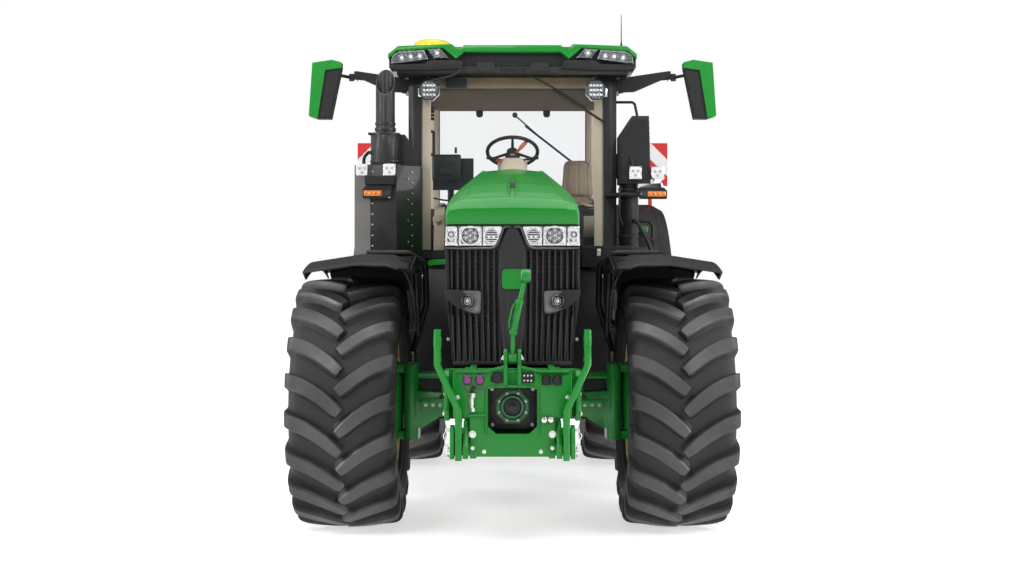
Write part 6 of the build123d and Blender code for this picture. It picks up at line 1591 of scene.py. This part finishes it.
def add_rear():
    """The rear linkage's fittings, the couplers, the rear lamps and the trim behind the cab."""
    black, steel, green, caps, red, amber = Form(), Form(), Form(), Form(), Form(), Form()
    links = Form()
    for sign in (1, -1):
        # Tail lamp on the fender's rear, work lamps under the roof, hooks and balls of the lower links.
        low_y = REAR + 0.92
        black.prism(mirrored(rounded_box(0.84, 1.2, 1.6, 1.74, 0.02), sign), "y", low_y, low_y + 0.055)
        red.prism(mirrored(rounded_box(0.855, 1.0, 1.615, 1.725, 0.012), sign), "y",
                  low_y + 0.055, low_y + 0.066)
        amber.prism(mirrored(rounded_box(1.008, 1.185, 1.615, 1.725, 0.012), sign), "y",
                    low_y + 0.055, low_y + 0.066)
        black.box(sign * 0.95, sign * 1.05, low_y - 0.1, low_y, 1.63, 1.7)
        for x in (0.4, 0.7):
            black.prism(mirrored(rounded_box(x - 0.055, x + 0.055, 3.045, 3.12, 0.015), sign),
                        "y", 1.262, 1.284)
            disc(caps, (sign * x, 1.284, 3.082), BEHIND, 0.03, 0.003, 0.003, 24)
            for k in range(4):
                caps.box(sign * x - 0.042 + 0.024 * k, sign * x - 0.032 + 0.024 * k, 1.284, 1.287, 3.056,
                    3.108)
        tip = (sign * 0.482, HIND + 0.8, 0.6)
        for side in (-1, 1):
            hoop(links, (tip[0] + side * 0.02, tip[1], tip[2]), (side, 0, 0), 0.036, 0.016, 0.006, 28)
        links.bolt((sign * 0.3405, HIND - 0.06, 0.6), (sign, 0, 0), 0.022)
        links.prism([(HIND + 0.7, 0.641), (HIND + 0.8, 0.641), (HIND + 0.8, 0.668), (HIND + 0.74, 0.672)],
            "x", sign * 0.47, sign * 0.494)
        # Stabiliser from the axle to the link, and the fender's light bracket.
        steel.rod((sign * 0.366, 2.03, 0.76), (sign * 0.366, 2.03, 0.98), 0.0235, 0.0235, 24)
        steel.rod((sign * 0.366, 2.03, 1.02), (sign * 0.366, 2.03, 1.2), 0.0215, 0.0215, 24)
        steel.bolt((sign * 0.386, 2.03, 1.4), (sign, 0, 0), 0.018)
        # Couplers: two columns of four with coloured caps.
        green.box(sign * 0.14, sign * 0.235, HIND - 0.02, HIND + 0.055, 1.02, 1.31)
        for row in range(4):
            place = (sign * 0.187, HIND + 0.055, 1.055 + 0.072 * row)
            black.rod(place, (place[0], place[1] + 0.05, place[2]), 0.026, 0.024, 20)
            disc(caps if row % 2 else red, (place[0], place[1] + 0.05, place[2]), BEHIND, 0.022, 0.01,
                0.004, 20)
            black.box(place[0] - 0.012, place[0] + 0.012, place[1] + 0.03, place[1] + 0.075,
                place[2] + 0.022, place[2] + 0.034)
        black.rod((sign * 0.3, 1.152, 2.1), (sign * 0.3, 1.2, 2.1), 0.035, 0.032, 20)
        green.prism(rounded([(1.6, 0.78), (1.8, 0.86), (1.8, 1.1), (1.6, 1.25)], 0.03), "x", sign * 0.242,
            sign * 0.256)
    # PTO guard, splines, drawbar clevis, blank plate and rear panel ribs.
    black.prism([(-0.135, 0.905), (-0.135, 0.7), (-0.128, 0.7), (-0.128, 0.898), (0.128, 0.898),
        (0.128, 0.7), (0.135, 0.7), (0.135, 0.905)], "y", HIND + 0.058, HIND + 0.24)
    shaft_z = 0.78
    for k in range(6):
        angle = pi / 3 * k
        steel.rod((0.0225 * cos(angle), HIND + 0.065, shaft_z + 0.0225 * sin(angle)),
                  (0.0225 * cos(angle), HIND + 0.15, shaft_z + 0.0225 * sin(angle)), 0.006, 0.005, 8)
        steel.bolt((0.085 * cos(angle + 0.5), HIND + 0.06, shaft_z + 0.085 * sin(angle + 0.5)), BEHIND,
            0.009)
    green.box(-0.045, 0.045, HIND + 0.315, HIND + 0.425, 0.5, 0.53)
    green.box(-0.045, 0.045, HIND + 0.315, HIND + 0.34, 0.462, 0.502)
    steel.rod((0, HIND + 0.37, 0.425), (0, HIND + 0.37, 0.565), 0.0185, 0.0185, 24)
    steel.turned([(0, 0.001), (0, 0.03), (0.014, 0.03), (0.014, 0.001)], (0, HIND + 0.37, 0.565), UP, 24)
    steel.rod((-0.055, HIND + 0.05, 1.15), (0.055, HIND + 0.05, 1.15), 0.0175, 0.0175, 24)
    for x in (-0.52, 0.52):
        black.pipe([(x, 1.215, 1.75), (x, 1.245, 1.8), (x, 1.245, 2.02), (x, 1.215, 2.07)], 0.012, 12, 0.02)
    black.prism(rounded_box(-0.52, 0.52, 1.98, 2.16, 0.03), "y", 1.196, 1.206)
    for k in range(6):
        black.box(-0.48, 0.48, 1.196, 1.212, 1.47 + 0.075 * k, 1.495 + 0.075 * k)
    piece(black, "rear_trim", "moulded black", 0.002)
    piece(steel, "rear_pins", "zinc steel", 0.0008)
    piece(green, "rear_brackets", "green paint", 0.003)
    piece(caps, "rear_caps", "lens grey", 0.0008)
    piece(red, "tail_lenses", "red lens", 0.0015)
    piece(amber, "rear_indicators", "orange lens", 0.0015)
    piece(links, "rear_link_ends", "zinc steel", 0.0008, "rear_lower_links")


# ---- finishes of the frame's own pieces
node_looks = {
    "green paint": (
        "hood_shell", "roof", "front_hitch_frame", "front_lift_arms", "front_link_left",
        "front_link_right", "front_top_link", "rear_rocker", "rear_lower_links", "rear_top_link",
        "drawbar", "rear_hitch_frame",
    ),
    "green casting": (
        "front_axle", "knuckle_left", "knuckle_right", "chassis_frame", "transmission", "rear_axle",
    ),
    "yellow paint": ("front_rim_left", "front_rim_right", "rear_rim_left", "rear_rim_right"),
    "black paint": (
        "aftertreatment_box", "exhaust_stack", "cooling_pack", "front_pto", "rear_pto", "cab_frame",
        "door_frame", "side_window_frame",
    ),
    "black casting": ("engine_block",),
    "moulded black": (
        "cab_body", "cab_steps", "grille", "hood_side_screens", "intake_housing", "mirrors",
        "front_fender_left", "front_fender_right", "rear_fenders", "side_console", "side_tanks",
        "steering_wheel", "roof_underside",
    ),
    "beige plastic": ("steering_console",),
    "beige leather": ("operator_seat", "instructor_seat"),
    "tyre rubber": ("front_tyre_left", "front_tyre_right", "rear_tyre_left", "rear_tyre_right"),
    "window glass": ("windshield", "door_glass"),
    "rear window glass": ("cab_windows",),
    "dome yellow": ("roof_fittings",),
    "chrome": ("headlamps", "cab_lamps"),
    "oiled rod": ("rear_lift_rods",),
}
sharp_nodes = ("windshield", "door_glass", "cab_windows", "warning_boards")


def add_finishes():
    """Gives each of the frame's pieces its finish and softened edges."""
    looks = {node: finish(look) for look, listed in node_looks.items() for node in listed}
    looks["warning_boards"] = striped_board()
    for node, target in frame["nodes"].items():
        target.data.materials.clear()
        target.data.materials.append(looks[node])
        if node in sharp_nodes:
            continue
        for polygon in target.data.polygons:
            polygon.use_smooth = True
        weld = target.modifiers.new("weld", "WELD")
        weld.merge_threshold = 0.00005
        edge = target.modifiers.new("edge", "BEVEL")
        edge.width = 0.004
        edge.segments = 2
        edge.limit_method = "ANGLE"
        edge.angle_limit = radians(32)
        edge.harden_normals = True


# ---- studio
def seen_white(tree):
    """One where the backdrop shows its white: to the camera, in gloss and through glass."""
    path = tree.nodes.new("ShaderNodeLightPath").outputs
    either = path["Is Camera Ray"]
    for ray in ("Is Glossy Ray", "Is Transmission Ray"):
        either = math_node(tree, "MAXIMUM", either, path[ray])
    return either


def studio_surface(name, colour, near, far):
    """Pale floor that melts into the backdrop: it glows more to the camera the farther it lies."""
    material, tree, surface, place = new_material(name)
    cloud = noise_node(tree, place, 0.6)
    low = [c * 0.99 for c in colour]
    tree.links.new(ramp_node(tree, cloud, low, colour), surface.inputs["Base Color"])
    surface.inputs["Roughness"].default_value = 0.7
    surface.inputs["Specular IOR Level"].default_value = 0.1
    length = tree.nodes.new("ShaderNodeVectorMath")
    length.operation = "LENGTH"
    tree.links.new(place, length.inputs[0])
    reach = tree.nodes.new("ShaderNodeMapRange")
    reach.interpolation_type = "SMOOTHSTEP"
    reach.inputs["From Min"].default_value = near
    reach.inputs["From Max"].default_value = far
    reach.inputs["To Min"].default_value = 0.6
    reach.inputs["To Max"].default_value = 1.0
    tree.links.new(length.outputs["Value"], reach.inputs["Value"])
    strength = math_node(tree, "MULTIPLY", seen_white(tree), reach.outputs["Result"])
    surface.inputs["Emission Color"].default_value = (1, 1, 1, 1)
    tree.links.new(strength, surface.inputs["Emission Strength"])
    return material


class TractorStudio(bpy.types.PropertyGroup):
    """Light and camera."""

    distance: bpy.props.FloatProperty(
        name="Camera Distance", description="From the front axle to the camera", default=8.5, unit="LENGTH")
    height: bpy.props.FloatProperty(
        name="Camera Height", description="Of the camera over the ground", default=1.62, unit="LENGTH")
    sky: bpy.props.FloatProperty(
        name="Sky", description="Strength of the light from all round", default=0.2)


# Columns: name, place, aimed at, width, height, power
lamp_table = (
    ("key", (-3.6, -8.8, 6.8), (0, -1.5, 1.0), 3.0, 2.2, 230),
    ("fill", (4.2, -8.6, 6.0), (0, -1.5, 1.0), 3.0, 2.2, 190),
    ("top", (0, -1.6, 8.0), (0, -1.0, 0), 5.0, 6.0, 300),
    ("left strip", (6.0, -3.2, 2.8), (0, -1.6, 1.2), 1.0, 5.0, 250),
    ("right strip", (-6.0, -3.2, 2.8), (0, -1.6, 1.2), 1.0, 5.0, 250),
    ("back", (0, 8.5, 5.5), (0, 1.0, 1.4), 5.0, 3.0, 200),
)


flag_table = (
    ("flag behind", ((-7, 7.5, 2.6), (7, 7.5, 2.6), (7, 7.5, 9.5), (-7, 7.5, 9.5))),
    ("flag in front", ((-7, -13.5, 3.2), (7, -13.5, 3.2), (7, -13.5, 9.5), (-7, -13.5, 9.5))),
)


def add_studio():
    """The floor, the lamps and the camera."""
    scene = bpy.context.scene
    sizes = scene.tractor_studio
    floor = Form()
    floor.add([(-60, -60, 0), (60, -60, 0), (60, 60, 0), (-60, 60, 0)], [(0, 1, 2, 3)])
    ground = bpy.data.objects.new("floor", floor.mesh("floor"))
    bpy.context.collection.objects.link(ground)
    ground.location.z = -0.001
    ground.data.materials.append(studio_surface("floor paint", (0.9, 0.9, 0.9), 2.8, 7.5))
    for name, place, target, width, height, power in lamp_table:
        data = bpy.data.lights.new(name, "AREA")
        data.shape = "RECTANGLE"
        data.size = width
        data.size_y = height
        data.energy = power
        lamp = bpy.data.objects.new(name, data)
        bpy.context.collection.objects.link(lamp)
        lamp.location = place
        aim = Vector(target) - Vector(place)
        lamp.rotation_euler = aim.to_track_quat("-Z", "Y").to_euler()
        lamp.visible_camera = False
        lamp.visible_glossy = name != "back"
    # Black flags that keep the paint deep: they show only in reflections.
    for name, corners in flag_table:
        cloth = Form()
        cloth.add(corners, [(0, 1, 2, 3)])
        flag = bpy.data.objects.new(name, cloth.mesh(name))
        bpy.context.collection.objects.link(flag)
        flag.data.materials.append(finish("moulded black"))
        flag.visible_camera = flag.visible_diffuse = flag.visible_shadow = flag.visible_transmission = False
    world = bpy.data.worlds.new("studio sky")
    world.use_nodes = True
    tree = world.node_tree
    clear = seen_white(tree)
    level = tree.nodes.new("ShaderNodeMapRange")
    level.inputs["To Min"].default_value = sizes.sky
    level.inputs["To Max"].default_value = 1.0
    tree.links.new(clear, level.inputs["Value"])
    sky = tree.nodes["Background"]
    sky.inputs["Color"].default_value = (1, 1, 1, 1)
    tree.links.new(level.outputs["Result"], sky.inputs["Strength"])
    scene.world = world
    scene.view_settings.view_transform = "Standard"
    data = bpy.data.cameras.new("camera")
    data.sensor_width = 36
    data.lens = 1332 / 1024 * 36
    data.shift_x = -0.5 / 1024
    data.shift_y = -17.4 / 1024
    data.clip_end = 200
    camera = bpy.data.objects.new("camera", data)
    bpy.context.collection.objects.link(camera)
    camera.location = (0, FRONT - sizes.distance, sizes.height)
    camera.rotation_euler = (radians(90), 0, 0)
    scene.camera = camera


# ---- operators and panel
class TRACTOR_OT_tyres(bpy.types.Operator):
    """Make the four lugged tyres."""

    bl_idname = "tractor.tyres"
    bl_label = "Tyres"

    def execute(self, context):
        add_tyres()
        return {"FINISHED"}


class TRACTOR_OT_hood(bpy.types.Operator):
    """Make the pressed panels, the spine's slot and the seal of the hood."""

    bl_idname = "tractor.hood"
    bl_label = "Hood"

    def execute(self, context):
        add_hood()
        return {"FINISHED"}


class TRACTOR_OT_headlamps(bpy.types.Operator):
    """Make the bezels, reflectors, diodes and covers of the headlamps."""

    bl_idname = "tractor.headlamps"
    bl_label = "Headlamps"

    def execute(self, context):
        add_headlamps()
        return {"FINISHED"}


class TRACTOR_OT_grille(bpy.types.Operator):
    """Make the grille's bezel, column, mesh, blank plate and fog lamps."""

    bl_idname = "tractor.grille"
    bl_label = "Grille"

    def execute(self, context):
        add_grille()
        return {"FINISHED"}


class TRACTOR_OT_front_linkage(bpy.types.Operator):
    """Make the couplers, bolts, pins and rings of the front linkage."""

    bl_idname = "tractor.front_linkage"
    bl_label = "Front Linkage"

    def execute(self, context):
        add_hitch_plate()
        add_front_links()
        add_front_top_link()
        add_front_shaft()
        return {"FINISHED"}


class TRACTOR_OT_front_axle(bpy.types.Operator):
    """Make the steering rams, hoses, bolts and hubs of the front axle."""

    bl_idname = "tractor.front_axle"
    bl_label = "Front Axle"

    def execute(self, context):
        add_front_axle()
        return {"FINISHED"}


class TRACTOR_OT_fender_liners(bpy.types.Operator):
    """Make the flaps, inner walls, ribs and hoses under the front fenders."""

    bl_idname = "tractor.fender_liners"
    bl_label = "Fender Liners"

    def execute(self, context):
        add_fender_liners()
        return {"FINISHED"}


class TRACTOR_OT_roof_lamps(bpy.types.Operator):
    """Make the roof's lamps, the eight-sided work lamps and the small lamps."""

    bl_idname = "tractor.roof_lamps"
    bl_label = "Roof and Work Lamps"

    def execute(self, context):
        add_roof_lamps()
        add_small_lamps()
        add_indicators()
        return {"FINISHED"}


class TRACTOR_OT_mirrors(bpy.types.Operator):
    """Make the green backs, the glasses and the joints of the mirrors."""

    bl_idname = "tractor.mirrors"
    bl_label = "Mirrors"

    def execute(self, context):
        add_mirrors()
        return {"FINISHED"}


class TRACTOR_OT_wipers(bpy.types.Operator):
    """Make the wipers, the washer pipe and the roof's small fittings."""

    bl_idname = "tractor.wipers"
    bl_label = "Wipers and Roof Fittings"

    def execute(self, context):
        add_wipers()
        add_roof_fittings()
        return {"FINISHED"}


class TRACTOR_OT_exhaust(bpy.types.Operator):
    """Make the straps, screws and edges of the exhaust side and the intake side."""

    bl_idname = "tractor.exhaust"
    bl_label = "Exhaust and Intake"

    def execute(self, context):
        add_exhaust()
        return {"FINISHED"}


class TRACTOR_OT_steps(bpy.types.Operator):
    """Make the treads, handrails, tool box fittings and tank fittings."""

    bl_idname = "tractor.steps"
    bl_label = "Steps and Tool Box"

    def execute(self, context):
        add_steps()
        return {"FINISHED"}


class TRACTOR_OT_wheels(bpy.types.Operator):
    """Make the bolts, caps, valve and hub covers of the wheels."""

    bl_idname = "tractor.wheels"
    bl_label = "Wheel Fittings"

    def execute(self, context):
        add_wheels()
        return {"FINISHED"}


class TRACTOR_OT_seats(bpy.types.Operator):
    """Make the operator's seat and the instructor's seat."""

    bl_idname = "tractor.seats"
    bl_label = "Seats"

    def execute(self, context):
        add_seats()
        return {"FINISHED"}


class TRACTOR_OT_interior(bpy.types.Operator):
    """Make the headliner, the trims, the monitors, the levers and the steering wheel."""

    bl_idname = "tractor.interior"
    bl_label = "Cab Interior"

    def execute(self, context):
        add_headliner()
        add_interior()
        return {"FINISHED"}


class TRACTOR_OT_rear(bpy.types.Operator):
    """Make the rear linkage's fittings, the couplers, the rear lamps and the trim behind the cab."""

    bl_idname = "tractor.rear"
    bl_label = "Rear Linkage and Lamps"

    def execute(self, context):
        add_rear()
        return {"FINISHED"}


class TRACTOR_OT_finishes(bpy.types.Operator):
    """Give each of the frame's pieces its finish and softened edges."""

    bl_idname = "tractor.finishes"
    bl_label = "Finishes"

    def execute(self, context):
        add_finishes()
        return {"FINISHED"}


class TRACTOR_OT_studio(bpy.types.Operator):
    """Make the floor, the lamps and the camera."""

    bl_idname = "tractor.studio"
    bl_label = "Studio"

    def execute(self, context):
        add_studio()
        return {"FINISHED"}


class TRACTOR_PT_panel(bpy.types.Panel):
    """Lists the tractor's pieces."""

    bl_idname = "TRACTOR_PT_panel"
    bl_label = "Farm Tractor"
    bl_space_type = "VIEW_3D"
    bl_region_type = "UI"
    bl_category = "Tractor"

    def draw(self, context):
        column = self.layout.column()
        scene = context.scene
        for group in (scene.tractor_paint, scene.tractor_tyres, scene.tractor_studio):
            for name in group.__annotations__:
                column.prop(group, name)
        for operator in piece_operators:
            column.operator(operator.bl_idname)


piece_operators = (
    TRACTOR_OT_finishes,
    TRACTOR_OT_tyres,
    TRACTOR_OT_hood,
    TRACTOR_OT_headlamps,
    TRACTOR_OT_grille,
    TRACTOR_OT_front_linkage,
    TRACTOR_OT_front_axle,
    TRACTOR_OT_fender_liners,
    TRACTOR_OT_roof_lamps,
    TRACTOR_OT_mirrors,
    TRACTOR_OT_wipers,
    TRACTOR_OT_exhaust,
    TRACTOR_OT_steps,
    TRACTOR_OT_wheels,
    TRACTOR_OT_seats,
    TRACTOR_OT_interior,
    TRACTOR_OT_rear,
    TRACTOR_OT_studio,
)
classes = (TractorPaint, TractorTyres, TractorStudio) + piece_operators + (TRACTOR_PT_panel,)


def register():
    for cls in classes:
        bpy.utils.register_class(cls)
    bpy.types.Scene.tractor_paint = bpy.props.PointerProperty(type=TractorPaint)
    bpy.types.Scene.tractor_tyres = bpy.props.PointerProperty(type=TractorTyres)
    bpy.types.Scene.tractor_studio = bpy.props.PointerProperty(type=TractorStudio)


def unregister():
    del bpy.types.Scene.tractor_studio
    del bpy.types.Scene.tractor_tyres
    del bpy.types.Scene.tractor_paint
    for cls in reversed(classes):
        bpy.utils.unregister_class(cls)


def main():
    register()
    for operator in piece_operators:
        group, name = operator.bl_idname.split(".")
        getattr(getattr(bpy.ops, group), name)()


if __name__ == "__main__":
    main()
